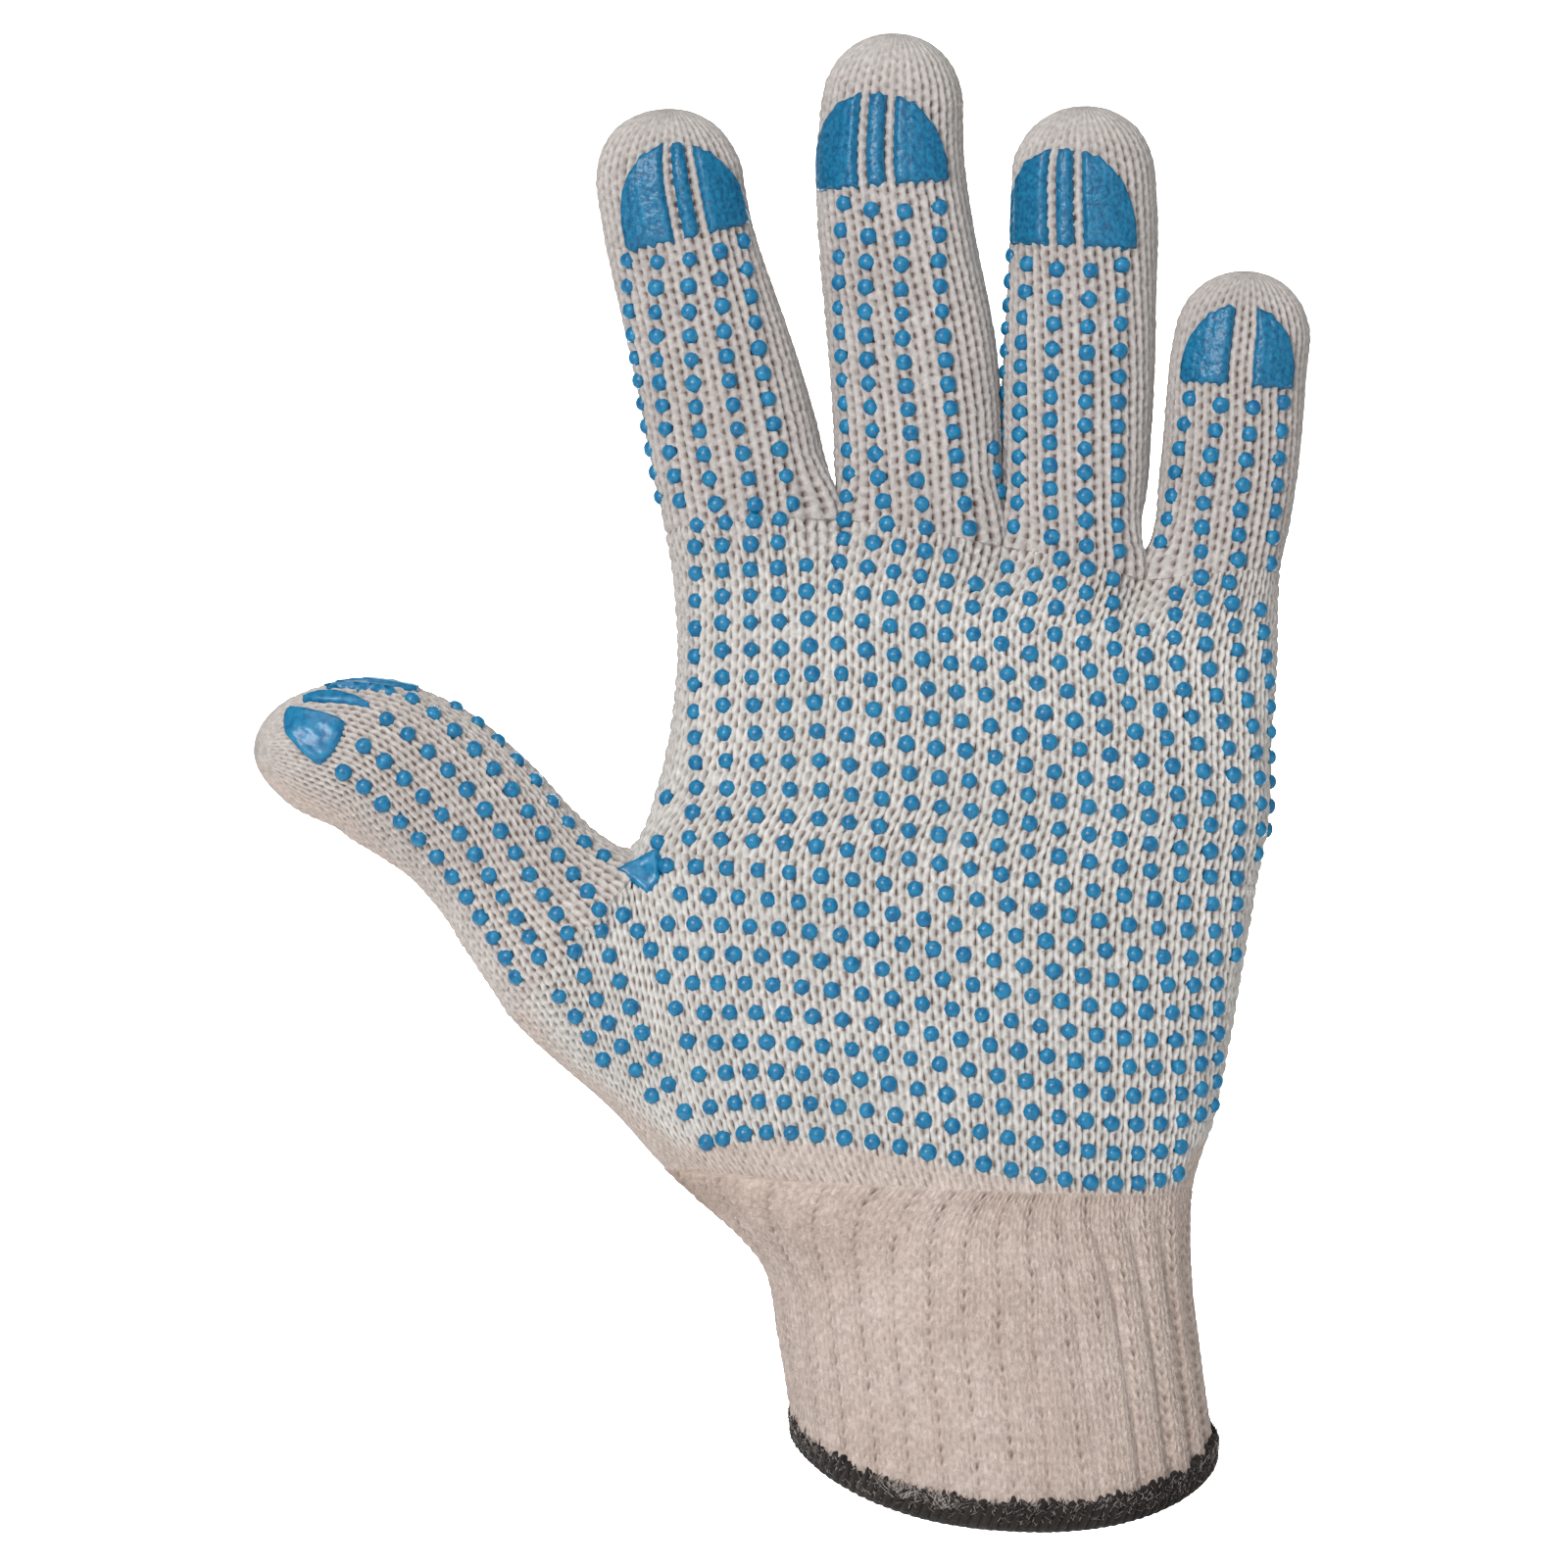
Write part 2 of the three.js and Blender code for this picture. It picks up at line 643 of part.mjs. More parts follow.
// The small patch in the crotch of the thumb, laid on the front of the palm's knit
function webPatch(meshes) {
  const skin = new Skin();
  const cells = 3;
  const top = webTop(thumbWeb);
  const ray = new THREE.Raycaster();
  const place = (across, up) => {
    const from = new THREE.Vector3(
      top.x + across * webPatchWidth,
      -palmWidth,
      top.z + up * webPatchHeight,
    );
    ray.set(from, yAxis);
    return ray.intersectObjects(meshes)[0].point;
  };
  const grid = [];
  for (let j = 0; j <= cells; j += 1) {
    const points = [];
    for (let i = 0; i <= cells; i += 1) {
      const corner = (name) => mix(
        mix(webPatchCorners.left[name], webPatchCorners.bottom[name], i / cells),
        mix(webPatchCorners.top[name], webPatchCorners.right[name], i / cells),
        j / cells,
      );
      points.push(place(corner('across'), corner('up')));
    }
    grid.push(skin.row(points));
  }
  for (let j = 0; j < cells; j += 1) skin.join(grid[j], grid[j + 1], false);
  return skin;
}

// Points moved level, outwards from their loop, each by its own distance
function moveOut(points, distanceAt) {
  return points.map((point, i) => {
    const after = points[(i + 1) % points.length];
    const before = points[(i + points.length - 1) % points.length];
    const outwards = new THREE.Vector3(after.y - before.y, before.x - after.x, 0).normalize();
    return point.clone().addScaledVector(outwards, distanceAt(i));
  });
}

const cuffShares = Array.from({ length: cuffColumns }, (_, c) => c / cuffColumns);
const hemLine = loopAt(hemSection, cuffShares);
const hemLowest = Math.min(...hemLine.map(hemUp));
hemLine.forEach((point) => { point.z = hemUp(point) - hemLowest; });

// The ribbed cuff, from the wrist line to the hem
function ribCuff() {
  const skin = new Skin();
  const bottom = hemLine.map((point) => point.clone().addScaledVector(down, -hemBand - seam));
  const top = loopAt(wristSection, cuffShares).map((point) => point.addScaledVector(down, seam));
  const keys = [
    loopAt(heelSection, cuffShares),
    top,
    ...cuffSectionsAt.map((section) => loopAt(section, cuffShares)),
    bottom,
  ];
  const rows = [top];
  cuffRows.forEach((count, segment) => rows.push(...rowsBetween(keys, segment + 1, evenly(count))));
  const ribbed = rows.map((points, j) => {
    const fade = Math.min(1, j / 2);
    return moveOut(points, (i) => (i % 2 ? -0.5 : 0.5) * ribDepth * fade);
  });
  const first = skin.square(skin.row(ribbed[0]), down);
  skin.square(skin.hang(first, ribbed.slice(1)), down);
  return skin;
}

// The overlocked band round the wrist opening, a rounded section swept along the hem's line
function hemBinding() {
  const skin = new Skin();
  const rows = hemProfile.map(({ out, up }) => skin.row(
    moveOut(hemLine, () => out * hemWall).map((point) => point.addScaledVector(down, -up * hemBand)),
  ));
  rows.forEach((row, i) => skin.join(row, rows[(i + 1) % rows.length]));
  return skin;
}

const finish = (color, roughness) => new THREE.MeshStandardMaterial({ color, roughness, metalness: 0 });
const cottonKnit = finish(0xcfc8c1, 0.95);
const cottonRib = finish(0xc4b6ad, 0.95);
const bluePvc = finish(0x1f77ab, 0.38);
const overlockYarn = finish(0x3c3430, 0.95);

const glove = new THREE.Group();
function add(name, geometry, material) {
  const mesh = new THREE.Mesh(geometry, material);
  mesh.name = name;
  glove.add(mesh);
  return mesh;
}

const palmMesh = add('palm_shell', palmShell().wall(0, -knitWall), cottonKnit);
const heelMesh = add('heel_shell', heelShell().wall(0, -knitWall), cottonKnit);
fingers.forEach((finger, f) => {
  add(`${finger.name}_stall`, stall(finger, cutAt[f], fingerShares).wall(0, -knitWall), cottonKnit);
});
add('thumb_stall', stall(thumb, thumbCutAt, thumbShares).wall(0, -knitWall), cottonKnit);
add('rib_cuff', ribCuff().wall(0, -cuffWall), cottonRib);
const hem = hemBinding();
add('hem_binding', solidFrom(hem.points, hem.faces), overlockYarn);
for (const tube of [...fingers, thumb]) {
  for (const strip of patchStrips[tube.patch.strips]) {
    const patch = tipPatch(tube, strip).wall(patchSeat + patchWall, patchSeat);
    add(`${tube.name}_patch_${strip.place}`, patch, bluePvc);
  }
}
add('web_patch', webPatch([palmMesh, heelMesh]).wall(patchSeat + patchWall, patchSeat), bluePvc);

export default glove;
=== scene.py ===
import math

import bpy
import numpy as np
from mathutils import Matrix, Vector
from mathutils.bvhtree import BVHTree


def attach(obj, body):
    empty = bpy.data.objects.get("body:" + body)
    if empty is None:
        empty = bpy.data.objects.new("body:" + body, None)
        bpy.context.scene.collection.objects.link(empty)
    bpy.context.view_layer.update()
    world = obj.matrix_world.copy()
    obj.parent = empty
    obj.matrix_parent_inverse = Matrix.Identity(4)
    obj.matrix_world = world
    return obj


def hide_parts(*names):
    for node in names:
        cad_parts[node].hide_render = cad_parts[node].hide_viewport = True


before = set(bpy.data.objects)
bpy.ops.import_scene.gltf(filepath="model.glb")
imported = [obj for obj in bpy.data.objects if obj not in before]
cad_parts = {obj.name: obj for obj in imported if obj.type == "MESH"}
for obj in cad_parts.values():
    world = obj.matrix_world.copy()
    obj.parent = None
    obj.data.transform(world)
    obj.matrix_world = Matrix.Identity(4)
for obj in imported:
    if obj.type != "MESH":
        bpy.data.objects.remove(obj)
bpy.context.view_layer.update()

# the glove's sizes in millimetres, as in its CAD source
palmWidth, palmDepth, palmLength, wristHeight = 96, 30, 104, 52.7
heelWidth, heelDepth, wristWidth, wristDepth = 95.5, 36, 84.5, 39
cuffWidth, cuffDepth = 67, 45
hemDip, hemRise, hemTilt, hemBand, hemWall = 9, 4, 3.5, 3.8, 3.2
tipRound, webReach, thumbReach, webArch = 11, 7, 12, 3
fingerFront, thumbFront, side = 5, 6, 3  # columns across a front and up a side
thumbColumnShare = 0.56  # of the width of a palm's column
fingerPower, tipPower, palmPower, cuffPower, palmShare, hemPower = 2.25, 2.05, 2.7, 2.2, 0.52, 1.6
down = np.array([0, 0, -1.0])

# lengths and widths as shares of the palm's; rows of along, aside, forward, width, depth, roll
tubes = {
    "index": dict(
        length=0.628, width=0.271, depth=0.717, rootAcross=-0.423, rootUp=1.021, lean=-11.1,
        patch=dict(halfSpread=0.157, height=0.24, fromTip=0.07, strips=3),
        rows=[
            (0, 0, 0, 1.04, 1.04, 0), (0.22, 0.015, 0, 1.02, 1, 0.008), (0.4, 0.04, 0.03, 0.97, 0.97, 0.016),
            (0.6, 0.085, 0.08, 0.91, 0.94, 0.024), (0.72, 0.1, 0.13, 0.89, 0.93, 0.028),
            (0.85, 0.08, 0.2, 0.89, 0.9, 0.028), (1, 0, 0.3, 0.88, 0.84, 0.028),
        ],
    ),
    "middle": dict(
        length=0.742, width=0.275, depth=0.733, rootAcross=-0.14, rootUp=1.013, lean=-2.7,
        patch=dict(halfSpread=0.17, height=0.192, fromTip=0.119, strips=3),
        rows=[
            (0, 0, 0, 0.99, 1, 0), (0.2, -0.02, 0, 1, 0.98, -0.01), (0.36, -0.005, 0.02, 0.99, 0.97, -0.02),
            (0.56, 0.05, 0.05, 0.93, 0.94, -0.032), (0.72, 0.075, 0.1, 0.88, 0.92, -0.04),
            (0.86, 0.05, 0.17, 0.85, 0.88, -0.04), (1, 0.01, 0.26, 0.84, 0.84, -0.04),
        ],
    ),
    "ring": dict(
        length=0.666, width=0.249, depth=0.7, rootAcross=0.114, rootUp=0.976, lean=1.5,
        patch=dict(halfSpread=0.17, height=0.231, fromTip=0.087, strips=3),
        rows=[
            (0, 0, 0, 0.98, 1, 0), (0.2, -0.01, 0, 0.98, 0.98, -0.012),
            (0.4, -0.02, 0.03, 0.99, 0.97, -0.025), (0.6, -0.025, 0.08, 0.97, 0.95, -0.042),
            (0.74, -0.03, 0.14, 0.95, 0.93, -0.058),
            (0.87, -0.02, 0.21, 0.93, 0.9, -0.058), (1, 0, 0.3, 0.92, 0.84, -0.058),
        ],
    ),
    "little": dict(
        length=0.442, width=0.227, depth=0.617, rootAcross=0.35, rootUp=0.953, lean=6.9,
        patch=dict(halfSpread=0.15, height=0.287, fromTip=0.109, strips=2),
        rows=[
            (0, 0, 0, 0.98, 1.02, 0), (0.2, -0.035, 0, 0.98, 1, 0), (0.4, -0.04, 0.02, 0.98, 0.98, -0.005),
            (0.6, -0.02, 0.06, 0.98, 0.96, -0.015), (0.8, 0.005, 0.12, 0.97, 0.93, -0.02),
            (1, 0.03, 0.2, 0.95, 0.88, -0.02),
        ],
    ),
    "thumb": dict(
        length=0.579, width=0.275, depth=0.767, rootAcross=-0.706, rootUp=0.37, lean=-57,
        rows=[
            (-0.06, 0.03, 0.02, 1.32, 1.3, 0), (0, 0.01, 0.02, 1.26, 1.24, 0),
            (0.12, -0.03, 0.03, 1.12, 1.14, 0.005), (0.242, -0.117, 0.06, 1, 1.05, 0.01),
            (0.411, -0.225, 0.12, 0.98, 1, 0.03),
            (0.575, -0.26, 0.2, 1, 0.98, 0.05), (0.735, -0.205, 0.3, 0.95, 0.95, 0.08),
            (0.902, -0.02, 0.42, 0.82, 0.9, 0.115), (1, 0.11, 0.48, 0.74, 0.84, 0.12),
        ],
    ),
}
for tube in tubes.values():
    tube["length"] *= palmLength
    tube["width"] *= palmWidth
    tube["depth"] *= palmDepth
    tube["rows"] = np.array(tube["rows"], float)

webs = [(-0.274, 1.04), (-0.006, 0.998), (0.23, 0.947)]  # across, up
thumbWeb = (-0.624, 0.505)
# leftUp, rightUp, left, right, front, back
palmSections = [
    (0.917, 0.78, -0.547, 0.452, 0.43, 0.41),
    (0.78, 0.67, -0.541, 0.443, 0.49, 0.47),
    (0.605, 0.56, -0.572, 0.439, 0.53, 0.5),
    (0.502, 0.45, -0.622, 0.418, 0.55, 0.52),
]
heel, wrist = (1.19, 1.2, -0.148), (1.035, 0.965, -0.145)  # leftUp, rightUp, middle
cuffSections = [(0.74, 0.72, -0.064, 1.024, 0.93), (0.52, 0.52, -0.038, 1, 0.96)]  # and width, depth


# one column of a tube's table at any place along it
def track(rows, column, at):
    along, value = rows[:, 0], rows[:, column]
    i = int(np.clip(np.searchsorted(along, at), 1, len(along) - 1))

    def slope(j):
        a, b = max(j - 1, 0), min(j + 1, len(along) - 1)
        return (value[b] - value[a]) / (along[b] - along[a])

    step = along[i] - along[i - 1]
    t = (at - along[i - 1]) / step
    bend = (2 * t**3 - 3 * t**2 + 1) * value[i - 1] + (3 * t**2 - 2 * t**3) * value[i]
    return bend + (t**3 - 2 * t**2 + t) * step * slope(i - 1) + (t**3 - t**2) * step * slope(i)


# points of a rounded outline at shares of its girth, from the middle of its front to the right
def outline(halfWidth, front, back, power, shares):
    turn = np.linspace(0, 2 * np.pi, 241)
    c, s = np.cos(turn), np.sin(turn)
    x = halfWidth * np.sign(s) * np.abs(s) ** (2 / power)
    y = -np.where(c > 0, front, back) * np.sign(c) * np.abs(c) ** (2 / power)
    reached = np.concatenate([[0], np.cumsum(np.hypot(np.diff(x), np.diff(y)))])
    at = (np.asarray(shares, float) % 1) * reached[-1]
    return np.interp(at, reached, x), np.interp(at, reached, y)


def axisPoint(tube, at):
    lean = math.radians(tube["lean"])
    up = np.array([math.sin(lean), 0, math.cos(lean)])
    across = np.array([math.cos(lean), 0, -math.sin(lean)])
    root = np.array([tube["rootAcross"] * palmWidth, 0, wristHeight + tube["rootUp"] * palmLength])
    aside = track(tube["rows"], 1, at) * tube["width"]
    forward = track(tube["rows"], 2, at) * tube["depth"]
    return root + up * at * tube["length"] - across * aside + np.array([0, -1, 0]) * forward


def alongAt(tube, at):
    step = axisPoint(tube, at + 0.02) - axisPoint(tube, at - 0.02)
    return step / np.linalg.norm(step)


def ringAt(tube, at, shares):
    centre, along = axisPoint(tube, at), alongAt(tube, at)
    across = np.cross([0, 1, 0], along)
    across /= np.linalg.norm(across)
    behind = np.cross(along, across)
    fromTip = (1 - at) * tube["length"] / tipRound
    cap = (1 - (1 - fromTip) ** tipPower) ** (1 / tipPower) if fromTip < 1 else 1
    halfWidth = cap * track(tube["rows"], 3, at) * tube["width"] / 2
    halfDepth = cap * track(tube["rows"], 4, at) * tube["depth"] / 2
    turned = np.asarray(shares) + track(tube["rows"], 5, at)
    x, y = outline(halfWidth, halfDepth, halfDepth, fingerPower, turned)
    return centre + x[:, None] * across + y[:, None] * behind


def tubeShares(front):
    count = 2 * (front + side)
    return (np.arange(count) - front / 2) / count


def loopAt(section, shares):
    left, right, leftUp, rightUp, front, back, power = section
    x, y = outline((right - left) / 2, front, back, power, shares)
    x = x + (left + right) / 2
    return np.stack([x, y, leftUp + (rightUp - leftUp) * (x - left) / (right - left)], 1)


def palmSection(row):
    leftUp, rightUp, left, right, front, back = row
    ups = [wristHeight + up * palmLength for up in (leftUp, rightUp)]
    return (left * palmWidth, right * palmWidth, *ups, front * palmDepth, back * palmDepth, palmPower)


def lowSection(row, width, depth, power):
    leftUp, rightUp, middle = row[:3]
    ups = [up * wristHeight for up in (leftUp, rightUp)]
    edges = ((middle - 0.5) * width, (middle + 0.5) * width)
    return (*edges, *ups, palmShare * depth, (1 - palmShare) * depth, power)


# a centripetal curve through the rows of keys, between two of them, at shares of the way
def between(keys, key, shares):
    p = [np.asarray(k, float) for k in keys]
    p0 = p[key - 1] if key > 0 else 2 * p[0] - p[1]
    p1, p2 = p[key], p[key + 1]
    p3 = p[key + 2] if key + 2 < len(p) else 2 * p[-1] - p[-2]

    def gap(a, b):
        return np.maximum(((b - a) ** 2).sum(1) ** 0.25, 1e-4)[:, None]

    d0, d1, d2 = gap(p0, p1), gap(p1, p2), gap(p2, p3)
    t1 = ((p1 - p0) / d0 - (p2 - p0) / (d0 + d1) + (p2 - p1) / d1) * d1
    t2 = ((p2 - p1) / d1 - (p3 - p1) / (d1 + d2) + (p3 - p2) / d2) * d1
    square, cube = -3 * p1 + 3 * p2 - 2 * t1 - t2, 2 * p1 - 2 * p2 + t1 + t2
    return [p1 + t1 * t + square * t**2 + cube * t**3 for t in shares]


def webTop(web):
    return np.array([web[0] * palmWidth, 0, wristHeight + web[1] * palmLength])


def webLine(top, frontCorner, backCorner, lower):
    spread = 2 * np.arange(side + 1) / side - 1
    depths = np.linspace(frontCorner[1], backCorner[1], side + 1)
    line = np.stack([np.full(side + 1, top[0]), depths, np.full(side + 1, top[2])], 1)
    return line + np.outer(webArch * spread**2, lower)


# the roots of the fingers, whose sides share the lines of the webs
fingerNames = ["index", "middle", "ring", "little"]
fingers = [tubes[name] for name in fingerNames]
thumb = tubes["thumb"]
fingerShares, thumbShares = tubeShares(fingerFront), tubeShares(thumbFront)
fingerColumns, thumbColumns = len(fingerShares), len(thumbShares)
palmFront = 4 * fingerFront
palmColumns = 2 * (palmFront + side)
palmShares = (np.arange(palmColumns) - palmFront / 2) / palmColumns


def palmColumn(finger, column):
    behind = fingerFront + side
    if column <= fingerFront:
        return finger * fingerFront + column
    if column < behind:
        return palmFront + column - fingerFront if finger == 3 else None
    if column <= behind + fingerFront:
        return palmFront + side + (3 - finger) * fingerFront + column - behind
    return palmColumns - fingerColumns + column if finger == 0 else None


def palmRowFrom(rings):
    total, count = np.zeros((palmColumns, 3)), np.zeros(palmColumns)
    for f, ring in enumerate(rings):
        for c, point in enumerate(ring):
            column = palmColumn(f, c)
            if column is not None:
                total[column] += point
                count[column] += 1
    return total / count[:, None]


cutAt = [webReach / finger["length"] for finger in fingers]
cutRings = [ringAt(finger, cutAt[f], fingerShares) for f, finger in enumerate(fingers)]
rootRings = [ringAt(finger, 0, fingerShares) for finger in fingers]
for w, web in enumerate(webs):
    left, right = rootRings[w], rootRings[w + 1]
    frontCorner = (left[fingerFront] + right[0]) / 2
    backCorner = (left[fingerFront + side] + right[fingerColumns - side]) / 2
    for q, point in enumerate(webLine(webTop(web), frontCorner, backCorner, down)):
        left[fingerFront + q] = point
        right[(fingerColumns - q) % fingerColumns] = point
for ring in rootRings:
    for first in (0, fingerFront + side):
        a, b = ring[first][2], ring[first + fingerFront][2]
        for i in range(1, fingerFront):
            ring[first + i][2] = a + (b - a) * i / fingerFront

# the thumb's root, whose upper side shares the line of its web with the palm's left side
thumbCutAt = thumbReach / thumb["length"]
thumbCutRing = ringAt(thumb, thumbCutAt, thumbShares)
thumbRoot = ringAt(thumb, 0, thumbShares)
palmKeys = [loopAt(palmSection(row), palmShares) for row in palmSections]
palmAbove, lastPalm = palmKeys[-2:]
thumbLine = webLine(
    webTop(thumbWeb), (thumbRoot[thumbFront] + lastPalm[0]) / 2,
    (thumbRoot[thumbFront + side] + lastPalm[palmColumns - side]) / 2, np.array([0.6, 0, -0.8]),
)
for q, point in enumerate(thumbLine):
    thumbRoot[thumbFront + q] = point
    lastPalm[(palmColumns - q) % palmColumns] = point

heelSteps = np.array(
    [thumbColumnShare] * thumbFront + [1] * (2 * palmFront + side) + [thumbColumnShare] * (thumbFront + side)
)
heelShares = (np.cumsum(heelSteps) - heelSteps + side / 2 * thumbColumnShare) / heelSteps.sum() - 0.25
heelColumns = len(heelSteps)


def heelRow(thumbRow, palmRow):
    across = palmRow[:2 * palmFront + side]
    return np.concatenate([thumbRow[:thumbFront], across, thumbRow[thumbFront + side:]])


cuffKeys = [lowSection(row, row[3] * cuffWidth, row[4] * cuffDepth, cuffPower) for row in cuffSections]
heelSection = lowSection(heel, heelWidth, heelDepth, palmPower)
wristSection = lowSection(wrist, wristWidth, wristDepth, palmPower)
hemSection = lowSection((0, 0, 0), cuffWidth, cuffDepth, cuffPower)
cuffColumns = 56
cuffShares = np.arange(cuffColumns) / cuffColumns
hemLine = loopAt(hemSection, cuffShares)
inFront = np.maximum(-hemLine[:, 1] / hemSection[4], 0) ** hemPower
behind = np.maximum(hemLine[:, 1] / hemSection[5], 0)
hemLine[:, 2] = hemRise * behind - hemDip * inFront - hemTilt * hemLine[:, 0] / cuffWidth
hemLine[:, 2] -= hemLine[:, 2].min()


# keys, from the top down or the root up, of each stretch of the surface
def upperKeys():
    opposite = thumbCutRing[thumbFront:thumbFront + side + 1][::-1]
    belowPalm = loopAt(heelSection, heelShares)[thumbFront:thumbFront + 2 * palmFront + side]
    underWeb = np.concatenate([belowPalm, opposite[:side]])
    return [palmRowFrom(cutRings), palmRowFrom(rootRings), *palmKeys, underWeb]


def lowKeys():
    loops = [loopAt(section, heelShares) for section in (heelSection, wristSection, cuffKeys[0])]
    return [heelRow(thumbCutRing, palmAbove), heelRow(thumbRoot, lastPalm), *loops]


def rootKeys(name):
    if name == "thumb":
        below = ringAt(thumb, -thumbCutAt / 2, thumbShares)
        for q in range(1, side):
            below[thumbFront + q] = palmAbove[palmColumns - q]
        return [below, thumbRoot, thumbCutRing, ringAt(thumb, 2 * thumbCutAt, thumbShares)]
    f = fingerNames.index(name)
    row, below = palmKeys[0], []
    for c in range(fingerColumns):
        column = palmColumn(f, c)
        if column is None:
            other = f + 1 if c < fingerFront + side else f - 1
            below.append(cutRings[other][(fingerColumns + fingerFront - c) % fingerColumns])
        else:
            below.append(row[column])
    return [np.array(below), rootRings[f], cutRings[f], ringAt(fingers[f], 2 * cutAt[f], fingerShares)]


def cuffLoops():
    bottom = hemLine + [0, 0, 1.4]
    loops = [loopAt(section, cuffShares) for section in (heelSection, wristSection, *cuffKeys)]
    return [*loops, bottom]


# rows of points at shares of the way down every column of a path
def spaced(path, shares):
    steps = np.linalg.norm(np.diff(path, axis=0), axis=2)
    reached = np.concatenate([np.zeros((1, path.shape[1])), np.cumsum(steps, 0)])
    result = np.empty((len(shares), path.shape[1], 3))
    for c in range(path.shape[1]):
        for k in range(3):
            result[:, c, k] = np.interp(np.asarray(shares) * reached[-1, c], reached[:, c], path[:, c, k])
    return result


def keyPath(keys, first, last, fine=24):
    rows = []
    for key in range(first, last):
        rows += between(keys, key, np.arange(fine) / fine)
    return np.array(rows + between(keys, last - 1, [1.0]))


# columns of a path eased into their neighbours, all but the path's first tenth
def smoothed(path, first, last):
    columns = np.arange(first, last)
    ease = np.clip(np.arange(len(path)) / len(path) / 0.1, 0, 1)[:, None, None]
    for _ in range(14):
        middle = (path[:, columns - 1] + path[:, columns + 1]) / 2
        path[:, columns] += (middle - path[:, columns]) * 0.5 * ease
    return path


# each tip's shift to the side and up, in millimetres, and the share by which it is slimmer
tipLean = {
    "index": (-0.15, 0, 0.01), "middle": (0.1, 0, 0.03), "ring": (-0.4, 0, 0.01), "little": (0.45, 0, 0.01),
    "thumb": (1.0, -0.2, 0.08),
}
leanBefore, leanOver = 0.14, 0.2  # where it sets in before the rounded end, and over how much of the length


def leaned(name, at, points):
    tube = tubes[name]
    lean, rise, slim = tipLean[name]
    ease = min(1, max(0, (at - 1 + tipRound / tube["length"] + leanBefore) / leanOver))
    ease = ease**2 * (3 - 2 * ease)
    middle = axisPoint(tube, at)
    return middle + (points - middle) * (1 - slim * ease) + np.array([lean, 0, rise]) * ease


# the slit between the ring and little fingers is open down to its web: which side of each gives way,
# by how much, how far above the web in full, up to where, and how it ends, in millimetres
slit = dict(sides={"ring": 1, "little": -1}, depth=0.8, full=2.5, top=6, fade=5)


def slitOpened(path, facing):
    x, above = path[..., 0], path[..., 2] - webTop(webs[2])[2]
    ease = np.clip(above / slit["full"], 0, 1) ** 2
    ease = ease * np.exp(-(np.maximum(above - slit["top"], 0) / slit["fade"]) ** 2)
    middle, half = (x.max(1) + x.min(1))[:, None] / 2, (x.max(1) - x.min(1))[:, None] / 2
    path[..., 0] -= facing * slit["depth"] * ease * np.clip((x - middle) / half * facing, 0, 1) ** 2


def tubePath(name):
    tube = tubes[name]
    cut = thumbCutAt if name == "thumb" else cutAt[fingerNames.index(name)]
    shares = thumbShares if name == "thumb" else fingerShares
    rows = between(rootKeys(name), 1, np.arange(12) / 12)
    tipAt = 1 - tipRound / tube["length"]
    overTip = tipAt + (1 - tipAt) * np.sin(np.linspace(0, np.pi / 2, 30))
    ats = np.concatenate([np.linspace(cut, tipAt, 60)[:-1], np.minimum(overTip, 1 - 1e-6)])
    path = np.array(rows + [leaned(name, at, ringAt(tube, at, shares)) for at in ats])
    if name in slit["sides"]:
        slitOpened(path, slit["sides"][name])
    return path


# values of periodic columns at any places across the given rows
def gather(grid, rows, places):
    count = grid.shape[1]
    first = np.floor(places).astype(int)
    t = (places - first)[..., None]
    p0, p1, p2, p3 = (grid[rows, (first + k) % count] for k in (-1, 0, 1, 2))
    curve = 2 * p1 + (p2 - p0) * t + (2 * p0 - 5 * p1 + 4 * p2 - p3) * t**2
    return (curve + (3 * p1 - p0 - 3 * p2 + p3) * t**3) / 2


# a stretch of the glove's surface, from the top down, read at any share of the way and any place across
class Surface:
    fine, count = 4, 260

    def __init__(self, path):
        rows = spaced(path, np.linspace(0, 1, self.count + 1))
        places = np.arange(rows.shape[1] * self.fine) / self.fine
        line = np.repeat(np.arange(len(rows))[:, None], len(places), 1)
        self.columns = rows.shape[1]
        self.points = gather(rows, line, np.tile(places, (len(rows), 1)))
        across = np.roll(self.points, -1, 1) - np.roll(self.points, 1, 1)
        normals = np.cross(across, np.gradient(self.points, axis=0))
        outwards = self.points - self.points.mean(1, keepdims=True)
        normals *= np.sign((normals * outwards).sum(2).mean())
        self.normals = normals / np.maximum(np.linalg.norm(normals, axis=2, keepdims=True), 1e-9)
        self.widths = np.linalg.norm(across, axis=2, keepdims=True) / 2 * self.fine

    def read(self, grid, shares, places):
        at = np.clip(shares, 0, 1) * self.count
        first = np.minimum(at.astype(int), self.count - 1)
        t = (at - first)[..., None]
        fineAt = places * self.fine
        return gather(grid, first, fineAt) * (1 - t) + gather(grid, first + 1, fineAt) * t

    # points raised by heights along the normals
    def raised(self, shares, places, heights):
        shares, places = np.broadcast_arrays(shares, places)
        normals = self.read(self.normals, shares, places)
        normals /= np.maximum(np.linalg.norm(normals, axis=-1, keepdims=True), 1e-9)
        return self.read(self.points, shares, places) + normals * np.asarray(heights)[..., None]


def placed(name, data):
    thing = bpy.data.objects.new(name, data)
    bpy.context.scene.collection.objects.link(thing)
    return thing


